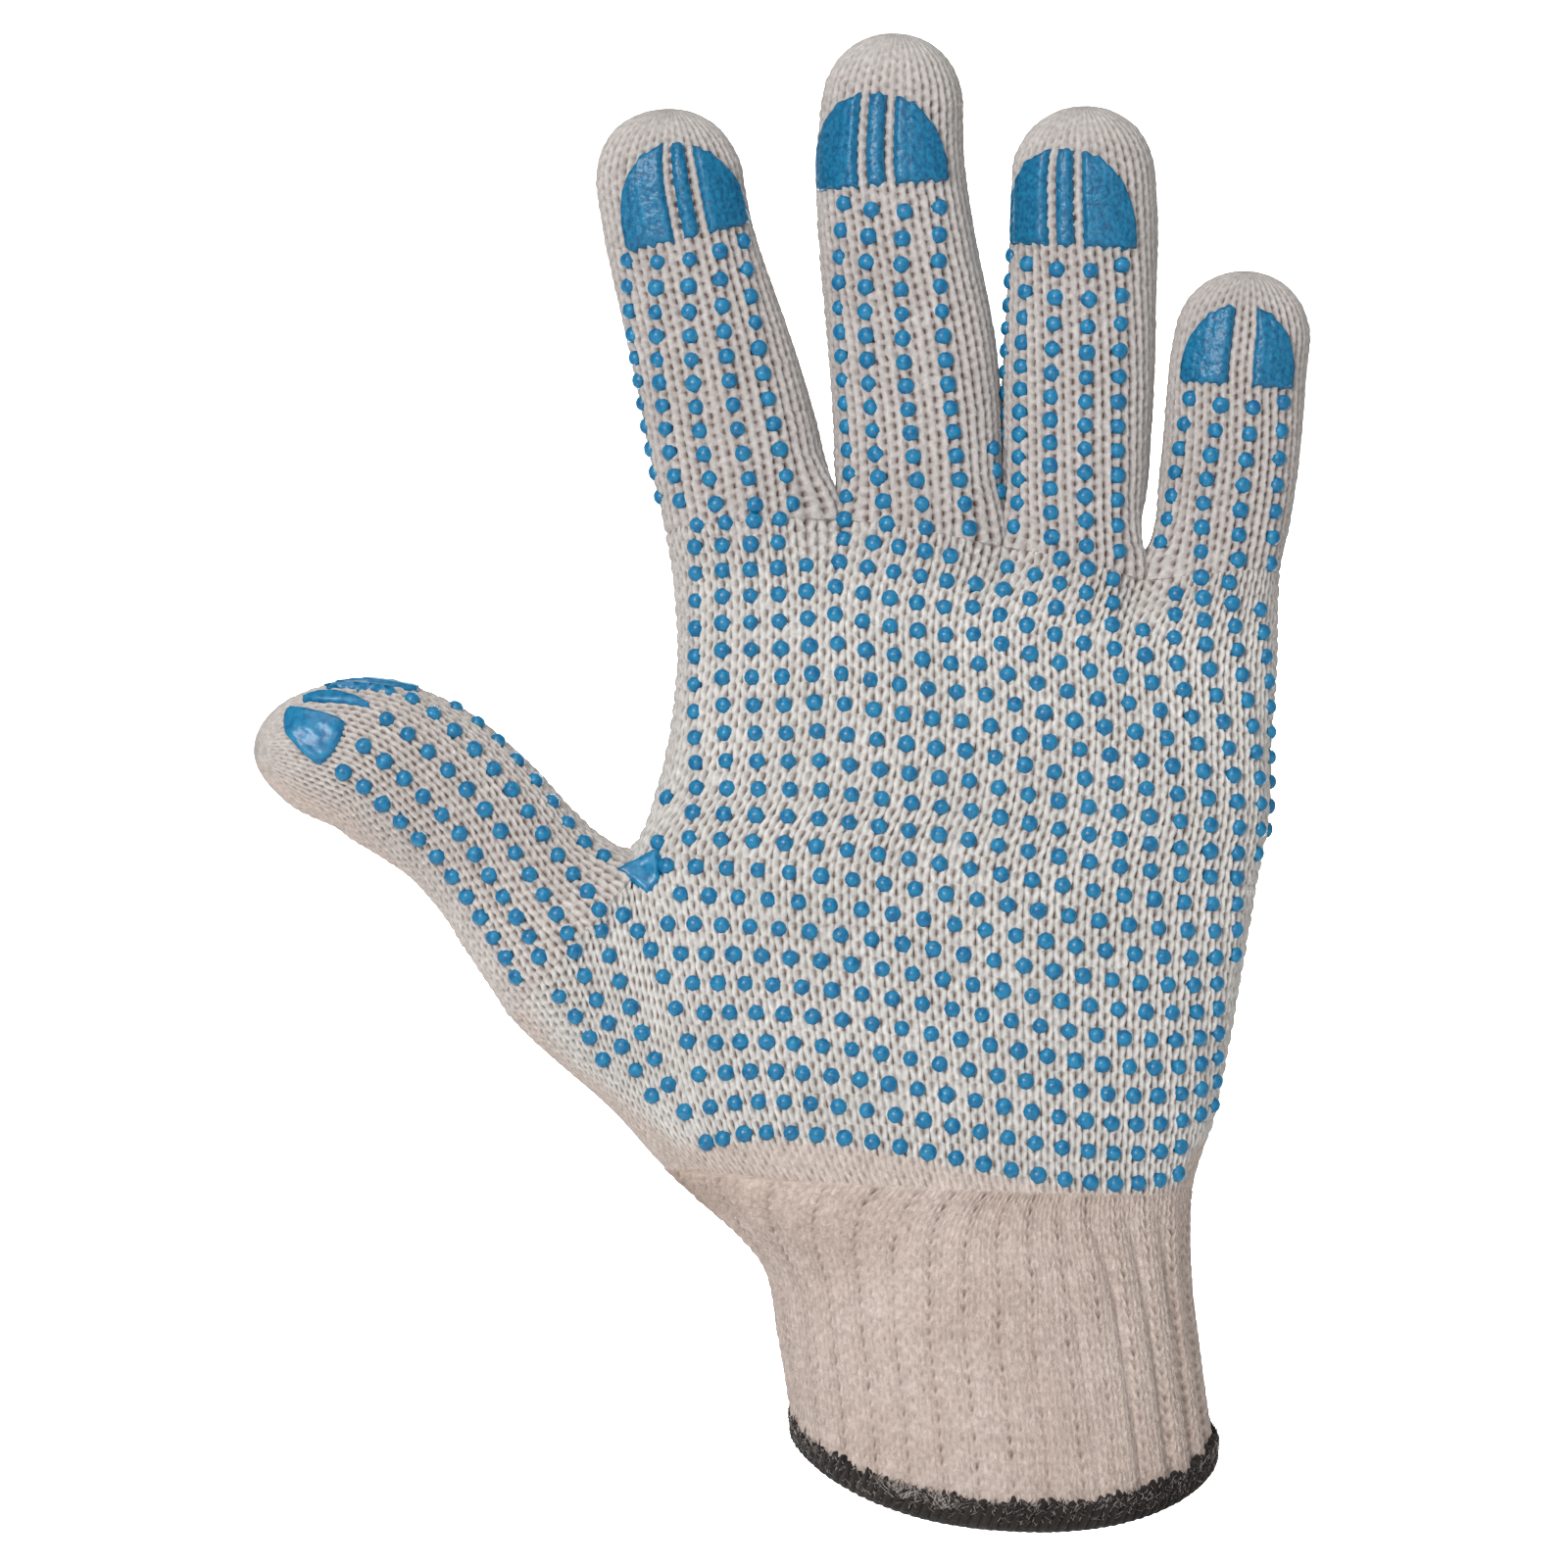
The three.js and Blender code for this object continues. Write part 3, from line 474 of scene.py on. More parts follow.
# a mesh from points in millimetres and faces of four or three corners, with a value for each corner or point
def makeMesh(name, points, faces, material, uv=None, marks=None):
    corners = np.concatenate([f.reshape(-1) for f in faces])
    sizes = np.concatenate([np.full(len(f), f.shape[1]) for f in faces])
    starts = np.concatenate([[0], np.cumsum(sizes)[:-1]])
    a, b, c = (points[corners[starts + k]] for k in range(3))
    volume = (a * np.cross(b, c)).sum()
    fourth = sizes == 4
    d = points[corners[starts[fourth] + 3]]
    volume += (a[fourth] * np.cross(c[fourth], d)).sum()
    if volume < 0:
        for start, size in ((starts[sizes == n], n) for n in (3, 4)):
            index = start[:, None] + np.arange(size)
            corners[index] = corners[index[:, ::-1]]
            if uv is not None:
                uv[index] = uv[index[:, ::-1]]
    mesh = bpy.data.meshes.new(name)
    mesh.vertices.add(len(points))
    mesh.vertices.foreach_set("co", (points / 1000).astype(np.float32).ravel())
    mesh.loops.add(len(corners))
    mesh.loops.foreach_set("vertex_index", corners.astype(np.int32))
    mesh.polygons.add(len(sizes))
    mesh.polygons.foreach_set("loop_start", starts.astype(np.int32))
    mesh.polygons.foreach_set("use_smooth", np.ones(len(sizes), bool))
    mesh.update(calc_edges=True)
    if uv is not None:
        layer = mesh.uv_layers.new(name="knit")
        layer.data.foreach_set("uv", uv.astype(np.float32).ravel())
    for label, values in (marks or {}).items():
        layer = mesh.attributes.new(label, "FLOAT", "POINT")
        layer.data.foreach_set("value", np.asarray(values, np.float32).ravel())
    mesh.materials.append(material)
    return placed(name, mesh)


# every finished piece of the glove hangs from the root body and hides the CAD part that it stands in for
def settle(piece, node=None):
    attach(piece, "root")
    if node:
        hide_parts(node)


# edges along rows of points, so that a rim stays crisp
def sharpen(piece, rows):
    mesh = piece.data
    marks = np.full(len(mesh.vertices), -1)
    for number, row in enumerate(rows):
        marks[row] = number
    ends = np.empty(len(mesh.edges) * 2, np.int32)
    mesh.edges.foreach_get("vertices", ends)
    a, b = marks[ends.reshape(-1, 2)].T
    layer = mesh.attributes.new("sharp_edge", "BOOLEAN", "EDGE")
    layer.data.foreach_set("value", (a == b) & (a >= 0))


# a closed wall: an outer and an inner grid whose columns go round, joined at the rims or closed by poles
def closedWall(name, outer, inner, poles, material, columnAt, rowAt, marks):
    columns = outer.shape[1]
    points = [outer.reshape(-1, 3), inner.reshape(-1, 3)]
    ids = [np.arange(len(outer) * columns).reshape(-1, columns)]
    ids.append(ids[0].size + np.arange(len(inner) * columns).reshape(-1, columns))
    around = np.roll(np.arange(columns), -1)
    quads, tris, uvs = [], [], []
    innerRows = np.linspace(rowAt[0], rowAt[-1], len(inner))
    wrapped = np.concatenate([columnAt[1:], [columnAt[0] + columnAt[-1] + columnAt[1] - 2 * columnAt[0]]])
    for grid, rows, flip in ((ids[0], rowAt, False), (ids[1], innerRows, True)):
        face = np.stack([grid[:-1], grid[:-1][:, around], grid[1:][:, around], grid[1:]], 2)
        low, high = np.meshgrid(rows[:-1], columnAt, indexing="ij")
        low2, high2 = np.meshgrid(rows[1:], wrapped, indexing="ij")
        pairs = ((high, low), (high2, low), (high2, low2), (high, low2))
        corner = np.stack([np.stack(pair, 2) for pair in pairs], 2)
        if flip:
            face, corner = face[:, :, ::-1], corner[:, :, ::-1]
        quads.append(face.reshape(-1, 4))
        uvs.append(corner.reshape(-1, 2))
    rims = []
    for end in (0, -1):
        if end == 0 and poles is not None:
            for k, (grid, pole) in enumerate(zip(ids, poles)):
                number = sum(len(p) for p in points)
                points.append(np.asarray(pole)[None])
                fan = np.stack([np.full(columns, number), grid[0][around], grid[0]], 1)
                tris.append(fan[:, ::-1] if k else fan)
            continue
        a, b = ids[0][end], ids[1][end]
        face = np.stack([a, b, b[around], a[around]], 1)
        quads.append(face if end == 0 else face[:, ::-1])
        uvs.append(np.zeros((len(face) * 4, 2)))
        rims += [a, b]
    for fan in tris:
        uvs.append(np.zeros((len(fan) * 3, 2)))
    points = np.concatenate(points)
    for label, mark in marks.items():
        marks[label] = np.concatenate([mark.ravel(), np.zeros(len(points) - mark.size)])
    piece = makeMesh(name, points, quads + tris, material, np.concatenate(uvs), marks)
    sharpen(piece, rims)
    return piece


# The knit. A stitch is a V that points down, of two legs of yarn, in rows from its open end to its point:
# share of the course; from the wale's middle to a leg's; heights in millimetres and painted shade in the holes,
# each between the wales, then at a leg's outer side, ridge and inner side, then between the legs
openKnit = [
    (0.0, 0.34, (-0.2, 0.14, 0.28, 0.18, -0.36), (0.3, 0.12, 0.05, 0.15, 0.75)),
    (0.27, 0.32, (-0.14, 0.26, 0.46, 0.3, -0.62), (0.2, 0.05, 0.0, 0.1, 1.0)),
    (0.55, 0.25, (-0.44, 0.3, 0.5, 0.3, -0.3), (0.75, 0.08, 0.0, 0.05, 0.35)),
    (0.82, 0.19, (-0.62, 0.22, 0.42, 0.26, 0.02), (1.0, 0.15, 0.04, 0.03, 0.15)),
]
# the fingers' legs are steeper and run on as light ribs
steepKnit = [
    (0.0, 0.275, (-0.3, 0.16, 0.36, 0.2, -0.5), (0.4, 0.1, 0.0, 0.15, 0.9)),
    (0.27, 0.27, (-0.12, 0.24, 0.44, 0.26, -0.5), (0.2, 0.05, 0.0, 0.12, 0.9)),
    (0.55, 0.245, (-0.45, 0.24, 0.46, 0.24, -0.14), (0.85, 0.1, 0.0, 0.06, 0.25)),
    (0.82, 0.23, (-0.55, 0.2, 0.38, 0.22, -0.1), (1.0, 0.15, 0.0, 0.05, 0.2)),
]
closeKnit = [
    (0.0, 0.33, (-0.05, 0.2, 0.08, 0, -0.1), (0.25, 0.1, 0.2, 0, 0.15)),
    (0.27, 0.3, (0.0, 0.32, 0.2, 0, -0.26), (0.1, 0.0, 0.25, 0, 0.45)),
    (0.55, 0.22, (-0.1, 0.32, 0.3, 0, -0.2), (0.2, 0.0, 0.1, 0, 0.7)),
    (0.82, 0.15, (-0.12, 0.22, 0.3, 0, 0.12), (0.3, 0.1, 0.0, 0, 0.1)),
]
shoulder = 0.125  # from a leg's middle to its sides, in wales


def stitchTable(style, sides, key):
    rows = []
    for row in style:
        valley, outside, ridge, inside, middle = row[key]
        leg = [outside, ridge, inside] if sides == 8 else [outside, ridge]
        rows.append([valley, *leg, middle, *leg[::-1]])
    return np.array(rows)


def stitchOffsets(style, sides):
    steps = (-1, 0, 1) if sides == 8 else (-0.8, 0.3)
    rows = []
    for row in style:
        left = [0.5 - row[1] + step * shoulder for step in steps]
        rows.append([0, *left, 0.5, *[1 - place for place in left[::-1]]])
    return np.array(rows)


# soft unevenness, from -1 to 1, of places on a piece
def wander(x, y, seed):
    phase = np.random.default_rng(seed).uniform(0, 2 * np.pi, 6)
    slow = np.sin(x * 0.23 + y * 0.11 + phase[0]) + np.sin(x * 0.07 - y * 0.29 + phase[1])
    quick = np.sin(x * 0.61 + y * 0.37 + phase[2]) * np.sin(y * 0.53 - x * 0.19 + phase[3])
    return (slow + quick) / 3


joint = 0.08  # height of the knit where two pieces meet, in millimetres
# how far chance moves a stitch, in wales and courses, and what it does to its height and to the painted shade
# in its pit
chance = dict(wale=0.02, course=0.03, height=0.09, pitShade=0.25)
calmed = dict(height=0.45, pitShade=0.55)  # shares that a knit drawn close loses


# walesPer: wales over each coarse column; sides: points round a wale; start: share of the surface left out
# at its top; fadeTop, fadeLow: columns whose relief sets in over topCourses or ends over the last lowCourses;
# scale: width of a wale at full relief; marked: every how many wales one stands out
def knitPiece(name, node, surface, walesPer, courses, material, seed, style, sides=8, start=0.0,
              fadeTop=None, fadeLow=None, topCourses=0.2, lowCourses=0.12, wall=1.2, poles=None, fold=None,
              scale=2.4, marked=0, tintAt=None, calmAt=None, warp=None, jointPitShade=0.8):
    rng = np.random.default_rng(seed)
    counted = np.concatenate([[0], np.cumsum(walesPer)])
    wales = int(round(counted[-1]))
    number = np.arange(courses * 4 + 1)
    part, course = number % 4, number // 4
    t = np.array([row[0] for row in style])[part] + course
    offsets = stitchOffsets(style, sides)[part]
    heights = np.tile(stitchTable(style, sides, 2)[part], (1, wales))
    pitShades = np.tile(stitchTable(style, sides, 3)[part], (1, wales))
    if marked:
        strong = np.repeat(np.arange(wales) % marked == 0, sides)
        heights = heights * np.where(strong, 1.1, 0.75)
        pitShades = pitShades * np.where(strong, 0.95, 0.5)
    wale = np.repeat(np.arange(wales), sides)[None] + np.tile(offsets, (1, wales))
    inner = (part > 0)[:, None]
    each = rng.normal(0, 1, (3, courses + 1, wales))
    each = np.repeat(each[:, course], sides, 2) * inner
    wale = wale + each[0] * chance["wale"]
    line = t[:, None] + each[1] * chance["course"] + np.zeros_like(wale)
    shares = start + (1 - start) * line / courses
    places = np.interp(wale % wales, counted, np.arange(len(counted)))
    if warp is not None:
        places = places + warp(places, line / courses)
    width = surface.read(surface.widths, np.clip(shares, 0, 1), places)[..., 0]
    perWale = width / np.interp(places, np.arange(len(walesPer)), walesPer)
    size = np.clip(perWale / scale, 0.15, 1.25)
    fade = np.ones_like(wale)
    column = (places % surface.columns).astype(int)
    if fadeTop is not None:
        rise = np.clip(line / topCourses, 0, 1)
        fade *= np.where(fadeTop[column], rise, 1)
    if fadeLow is not None:
        rise = np.clip((courses - line) / lowCourses, 0, 1)
        fade *= np.where(fadeLow[column], rise, 1)
    heights = (heights * (1 + each[2] * chance["height"])) * size * fade + joint * (1 - fade)
    # tintAt gives how bare the knit is; on the cuff it gives where the painted brown shadow lies
    bare, calm = (
        np.zeros_like(wale) if of is None else np.clip(of(places % surface.columns, line / courses), 0, 1.4)
        for of in (tintAt, calmAt)
    )
    heights = heights * (1 - calmed["height"] * calm)
    pitShades = pitShades * (1 - calmed["pitShade"] * calm)
    if fold is not None:
        heights = heights + fold(places, line / courses)
    outer = surface.raised(shares, places, heights)
    innerShares = np.linspace(start, 1, courses // 3 + 1)[:, None]
    even = np.arange(wales * sides)[None] / sides
    innerPlaces = np.interp(even, counted, np.arange(len(counted)))
    depth = wall if fold is None else wall + 0.3
    inside = surface.raised(innerShares, innerPlaces, np.full((len(innerShares), wales * sides), -depth))
    columnAt = np.arange(wales * sides) / sides
    # painted shade: where a seam fades the relief, every fourth point round the wales is darkened as a small
    # shadowed hole
    dark = np.tile(np.arange(wales * sides) % sides % 4 == 0, (len(number), 1)) * jointPitShade
    pitShade = np.clip(pitShades * fade * (1 + chance["pitShade"] * each[2]) + (1 - fade) * dark, 0, 1)
    piece = closedWall(name, outer, inside, poles, material, columnAt, t, {"pitShade": pitShade, "bare": bare})
    settle(piece, node)


def newMaterial(name, roughness, specular):
    material = bpy.data.materials.new(name)
    material.use_nodes = True
    tree = material.node_tree
    shader = tree.nodes["Principled BSDF"]
    shader.inputs["Roughness"].default_value = roughness
    shader.inputs["Specular IOR Level"].default_value = specular
    return material, tree, shader


# the nodes that the yarns and the rubber share, each with its inputs, as the output that it gives
def noiseOf(tree, vector, scale, detail):
    node = tree.nodes.new("ShaderNodeTexNoise")
    node.inputs["Scale"].default_value = scale
    node.inputs["Detail"].default_value = detail
    tree.links.new(vector, node.inputs["Vector"])
    return node.outputs["Fac"]


def blendOf(tree, factor, a, b, kind="MIX"):
    node = tree.nodes.new("ShaderNodeMix")
    node.data_type = "RGBA"
    node.blend_type = kind
    for socket, value in ((node.inputs["Factor"], factor), (node.inputs["A"], a), (node.inputs["B"], b)):
        if isinstance(value, bpy.types.NodeSocket):
            tree.links.new(value, socket)
        else:
            socket.default_value = value
    return node.outputs["Result"]


def rangeOf(tree, value, low, high):
    node = tree.nodes.new("ShaderNodeMapRange")
    node.inputs["From Min"].default_value = low
    node.inputs["From Max"].default_value = high
    tree.links.new(value, node.inputs["Value"])
    return node.outputs["Result"]


def bumpOf(tree, height, distance):
    node = tree.nodes.new("ShaderNodeBump")
    node.inputs["Distance"].default_value = distance
    tree.links.new(height, node.inputs["Height"])
    return node


# a node group with a colour and a normal, for yarn of two tones with pits darkened by painted shade and a soft
# fuzz
def yarnGroup():
    group = bpy.data.node_groups.new("yarn", "ShaderNodeTree")
    for kind, names in (("Color", ("Light", "Shade", "PitShade", "DenseAndShade")), ("Float", ("Depth", "BareAndShade", "Fuzz"))):
        for name in names:
            group.interface.new_socket(name=name, in_out="INPUT", socket_type="NodeSocket" + kind)
    for name, kind in (("Color", "Color"), ("Normal", "Vector")):
        group.interface.new_socket(name=name, in_out="OUTPUT", socket_type="NodeSocket" + kind)
    nodes, links = group.nodes, group.links
    given = nodes.new("NodeGroupInput").outputs
    made = nodes.new("NodeGroupOutput").inputs
    place = nodes.new("ShaderNodeTexCoord").outputs["Object"]
    uv = nodes.new("ShaderNodeUVMap")
    uv.uv_map = "knit"
    stretch = nodes.new("ShaderNodeVectorMath")
    stretch.operation = "MULTIPLY"
    stretch.inputs[1].default_value = (9, 2.6, 1)  # along the legs of the stitches
    links.new(uv.outputs["UV"], stretch.inputs[0])
    patches = noiseOf(group, place, 60, 3)
    strands = noiseOf(group, stretch.outputs["Vector"], 1.4, 3)
    specks = noiseOf(group, place, 2600, 2)
    flecks = rangeOf(group, noiseOf(group, place, 1100, 3), 0.3, 0.7)
    tone = blendOf(group, rangeOf(group, patches, 0.35, 0.65), given["Light"], given["Shade"])
    # towards the bare knit's tone; on the cuff, towards the painted brown shadow
    tone = blendOf(group, given["BareAndShade"], tone, given["DenseAndShade"])
    tone = blendOf(group, rangeOf(group, strands, 0.45, 0.8), tone, given["Light"])
    flecked = blendOf(group, flecks, (0.8, 0.79, 0.78, 1), (1.12, 1.12, 1.12, 1))
    tone = blendOf(group, 1.0, tone, flecked, "MULTIPLY")
    # painted shade: the pits are darkened towards the shadow colour
    links.new(blendOf(group, given["Depth"], tone, given["PitShade"]), made["Color"])
    total = nodes.new("ShaderNodeMath")
    total.operation = "ADD"
    links.new(strands, total.inputs[0])
    links.new(specks, total.inputs[1])
    bump = bumpOf(group, total.outputs[0], 0.0003)
    links.new(given["Fuzz"], bump.inputs["Strength"])
    links.new(bump.outputs["Normal"], made["Normal"])
    return group


yarn = yarnGroup()


def yarnMaterial(name, light, shade, pitShade, denseAndShade, fuzz):
    material, tree, shader = newMaterial(name, 0.95, 0.2)
    group = tree.nodes.new("ShaderNodeGroup")
    group.node_tree = yarn
    for socket, mark in (("Depth", "pitShade"), ("BareAndShade", "bare")):
        attribute = tree.nodes.new("ShaderNodeAttribute")
        attribute.attribute_name = mark
        tree.links.new(attribute.outputs["Fac"], group.inputs[socket])
    for socket, colour in (("Light", light), ("Shade", shade), ("PitShade", pitShade), ("DenseAndShade", denseAndShade)):
        group.inputs[socket].default_value = (*colour, 1)
    group.inputs["Fuzz"].default_value = fuzz
    tree.links.new(group.outputs["Color"], shader.inputs["Base Color"])
    tree.links.new(group.outputs["Normal"], shader.inputs["Normal"])
    shader.inputs["Sheen Weight"].default_value = 0.15
    return material


def rubberMaterial(name, colour, deep, scale, bumpy):
    material, tree, shader = newMaterial(name, 0.27, 0.5)
    place = tree.nodes.new("ShaderNodeTexCoord").outputs["Object"]
    noise = noiseOf(tree, place, scale, 3)
    tone = blendOf(tree, rangeOf(tree, noise, 0.35, 0.62), (*deep, 1), (*colour, 1))
    tree.links.new(tone, shader.inputs["Base Color"])
    bump = bumpOf(tree, noise, 0.0002)
    bump.inputs["Strength"].default_value = bumpy
    tree.links.new(bump.outputs["Normal"], shader.inputs["Normal"])
    return material


# each yarn: light and darker tone, the painted shade of its pits, its tone where the knit is bare (for the rib:
# a painted brown shadow), and its fuzz
ribLight, ribShade = (0.76, 0.64, 0.575), (0.65, 0.53, 0.465)
# painted shade: the warm brown of the shadowed holes between the stitches
paintedPitShade = (0.12, 0.062, 0.042)
ribMiddle = tuple((a + b) * 0.475 for a, b in zip(ribLight, ribShade))
heelMiddle = tuple(a * 0.92 for a in ribMiddle)
cottonLight, cottonShade = (0.77, 0.75, 0.72), (0.67, 0.65, 0.62)
cottonKnit = yarnMaterial("cotton_knit", cottonLight, cottonShade, paintedPitShade, heelMiddle, 0.6)
cottonPalm = yarnMaterial("cotton_palm", cottonLight, cottonShade, paintedPitShade, (0.585, 0.55, 0.525), 0.6)
cottonFinger = yarnMaterial("cotton_finger", (0.61, 0.575, 0.555), (0.54, 0.5, 0.475), (0.1, 0.045, 0.032),
                            (0.52, 0.49, 0.465), 0.6)
cottonThumb = yarnMaterial("cotton_thumb", (0.69, 0.645, 0.615), (0.6, 0.555, 0.525), paintedPitShade, ribMiddle,
                           0.6)
# painted shade: the rib's fourth colour is a brown shadow, laid under the thumb's base and along the cuff's top
cottonRib = yarnMaterial("cotton_rib", ribLight, ribShade, (0.16, 0.095, 0.07), (0.52, 0.38, 0.3), 0.9)
dark, pale, grey = (0.04, 0.032, 0.028), (0.6, 0.55, 0.52), (0.38, 0.33, 0.3)
overlockYarn = yarnMaterial("overlock_yarn", dark, (0.014, 0.01, 0.009), (0.002, 0.0015, 0.001), dark, 0.9)
whiteYarn = yarnMaterial("white_yarn", pale, (0.5, 0.46, 0.43), (0.2, 0.15, 0.12), pale, 0.5)
greyYarn = yarnMaterial("grey_yarn", grey, (0.2, 0.17, 0.15), (0.03, 0.02, 0.02), grey, 0.5)
# the moulded rubber: its tone and the deeper one, the size of its grain and how rough that is
bluePvc = rubberMaterial("blue_pvc", (0.01, 0.22, 0.42), (0.001, 0.125, 0.29), 800, 0.5)
# painted shade: the fingers' pads are the same blue rubber painted darker, for the light that they lose
shadedBluePvc = rubberMaterial("blue_pvc_shaded", (0.006, 0.185, 0.36), (0.001, 0.095, 0.215), 1300, 1.0)

# A lattice gives a dot's column and course from its number across and down, both in tens:
# the powers of each, then the column's and the course's factors.
palmLattice = [
    (0, 0, 10.93, 17.07), (0, 1, 2.52, 20.27), (0, 2, 0.58, -0.18), (0, 3, -0.42, -0.86), (0, 4, -0.15, 0.64),
    (1, 0, 9.9, 2.25), (1, 1, -0.02, 1.37), (1, 2, -1.07, -0.83), (1, 3, 0.84, -0.28), (2, 0, 0.23, 1.05),
    (2, 1, -0.65, -2.26), (2, 2, 0.14, -1.06), (3, 0, 0.37, -0.92), (3, 1, -0.69, -2.23), (4, 0, -0.1, -0.55),
]
# first row, last row, first dot, last dot
palmDots = [
    (-10, -10, 8, 9), (-9, -9, -10, -7), (-9, -9, 3, 5), (-9, -9, 7, 10), (-8, -8, -10, -7),
    (-8, -8, -5, -1), (-8, -8, 1, 5), (-8, -8, 7, 10), (-7, 0, -10, 10), (1, 1, -11, 9), (2, 2, -10, 8),
    (3, 4, -11, 8), (5, 5, -11, 8), (6, 11, -12, 7), (12, 13, -12, 5),
]
# the thumb's rows of dots run on over the heel: first column and course, last ones, bend and dots
heelTracks = [
    (1.7, 2.1, 2.2, 9.4, 0.0, 4), (2.8, 0.4, 4.2, 14.3, -0.4, 7), (3.9, 1.1, 6.2, 18.5, -0.45, 9),
    (4.9, 1.6, 7.1, 18.2, 0.4, 9),
]
tubeLattices = {
    "index": [
        (0, 0, 1.41, 12.33), (0, 1, -0.67, -20.7), (0, 2, 1.79, 0.71), (0, 3, -0.33, -3.84),
        (1, 0, 12.05, -0.11), (1, 1, 1.23, -8.25), (2, 0, -0.86, 11.91),
    ],
    "middle": [
        (0, 0, 2.31, 12.19), (0, 1, -0.39, -20.39), (0, 2, 1.53, 1.43), (0, 3, 0.0, -1.05),
        (1, 0, 12.97, 4.79), (1, 1, 1.14, 0.62), (2, 0, 7.3, 18.23),
    ],
    "ring": [
        (0, 0, 1.7, 13.93), (0, 1, -0.39, -20.46), (0, 2, 0.61, 2.14), (0, 3, -0.48, -3.99),
        (1, 0, 12.32, -0.14), (1, 1, 0.18, -3.59), (2, 0, -0.65, 16.51),
    ],
    "little": [
        (0, 0, 1.54, 10.46), (0, 1, -1.02, -21.28), (0, 2, 3.19, 1.95), (0, 3, -0.42, -3.68),
        (1, 0, 13.88, -6.26), (1, 1, 4.97, -14.16), (2, 0, 0.3, 18.67),
    ],
    "thumb": [
        (0, 0, 3.24, 12.71), (0, 1, 0.47, -21.68), (0, 2, -0.06, 0.99), (0, 3, -2.35, 4.33),
        (1, 0, 12.79, -10.59), (1, 1, -2.86, 7.33), (2, 0, 1.79, -5.99),
    ],
}
tubeDots = {
    "index": dict(length=39, spans=[(-5, 5, -2, 2)]),
    "middle": dict(length=45, spans=[(-7, 2, -2, 1), (3, 5, -2, 2), (6, 6, -2, 1)]),
    "ring": dict(length=42, spans=[(-5, 6, -2, 2)]),
    "little": dict(length=29, spans=[(-2, 4, -1, 2)]),
    "thumb": dict(length=36, spans=[(-5, 6, -2, 0), (-5, 6, 1, 1), (-4, 4, 2, 2)]),
}


# places of a lattice's dots, where each span is first row, last row, first dot, last dot
def latticeDots(lattice, spans):
    table = np.array(lattice, float)
    dots = []
    for low, high, left, right in spans:
        dots += [(i, j) for j in range(low, high + 1) for i in range(left, right + 1)]
    i, j = np.array(dots, float).T[:, :, None] / 10
    terms = i ** table[:, 0] * j ** table[:, 1]
    return terms @ table[:, 2], terms @ table[:, 3]


upperSurface = Surface(keyPath(upperKeys(), 1, 5))
heelSurface = Surface(smoothed(keyPath(lowKeys(), 1, 3), 3, 11))
cuffSurface = Surface(keyPath(cuffLoops(), 1, 4))
tubeSurfaces = {name: Surface(tubePath(name)[::-1]) for name in tubes}

upperPalm = dict(courses=23, walesPer=[2] * palmColumns)
heelOfHand = dict(courses=21, walesPer=[2] * heelColumns)


# 0 below one value, 1 above another, and even between them
def ramp(value, low, high):
    return np.clip((value - low) / (high - low), 0, 1)


# the lowest row of dots over the heel, below which the knit is the cuff's
lastPlaces, lastCourses = latticeDots(palmLattice, [(13, 13, -12, 5), (12, 12, 6, 7)])
lastPlaces = lastPlaces + thumbFront
lastCourses = lastCourses - upperPalm["courses"]


# how bare and dense the knit is: 0 where the dots are, 1 at the sides
def bareHeel(places, share):
    aside = np.where(places > heelColumns / 2 + 6, places - heelColumns, places)
    edge = np.interp(share * heelOfHand["courses"], [8, 14, 18.5, 21], [1.0, 3.0, 5.0, 6.5])
    outer = ramp(edge - aside, 0, 1.2) * ramp(aside, -11, -3)
    onBack = ramp(-aside, 8, 20) + ramp(aside, 27, 31)
    below = share * heelOfHand["courses"] - np.interp(aside, lastPlaces, lastCourses)
    below = np.where(aside < 0, share * heelOfHand["courses"] - 18.4, below) - onBack
    return np.maximum(outer, ramp(below, 0.3, 0.9 + onBack))


def tintPalm(places, share):
    return ramp(-share * upperPalm["courses"], np.where(places > palmFront + side, -22, -4.5), 0)


def bareTube(columns, isThumb):
    front = thumbFront if isThumb else fingerFront

    def bareAt(places, share):
        aside = np.where(places > columns / 2 + front / 2, places - columns, places)
        right = ramp(aside, front + (1.2 if isThumb else 0), front + (3 if isThumb else 0.9))
        bare = np.maximum(ramp(-aside, 0.2 if isThumb else 1.2, 1.8), right)
        # looser again over the back
        return bare * (1 - 0.65 * ramp(np.abs(aside - front / 2), columns / 4 + 1, columns / 4 + 3))

    return bareAt


# a tube's sides and its tip, where the knit is drawn close
def calmTube(columns, isThumb):
    bareAt = bareTube(columns, isThumb)
    return lambda places, share: np.maximum(bareAt(places, share), 1.4 * ramp(-share, -0.2, -0.06))


webOfUpper = np.arange(palmColumns) >= palmColumns - side
knitPiece(
    "upper_palm", "palm_shell", upperSurface, upperPalm["walesPer"], upperPalm["courses"],
    cottonPalm, 11, openKnit, fadeTop=np.ones(palmColumns, bool), fadeLow=webOfUpper, tintAt=tintPalm,
)
knitPiece(
    "heel_of_hand", "heel_shell", heelSurface, heelOfHand["walesPer"], heelOfHand["courses"],
    cottonKnit, 12, openKnit, fadeLow=np.ones(heelColumns, bool), tintAt=bareHeel, calmAt=bareHeel,
    jointPitShade=0.15,
)
print("palm done")

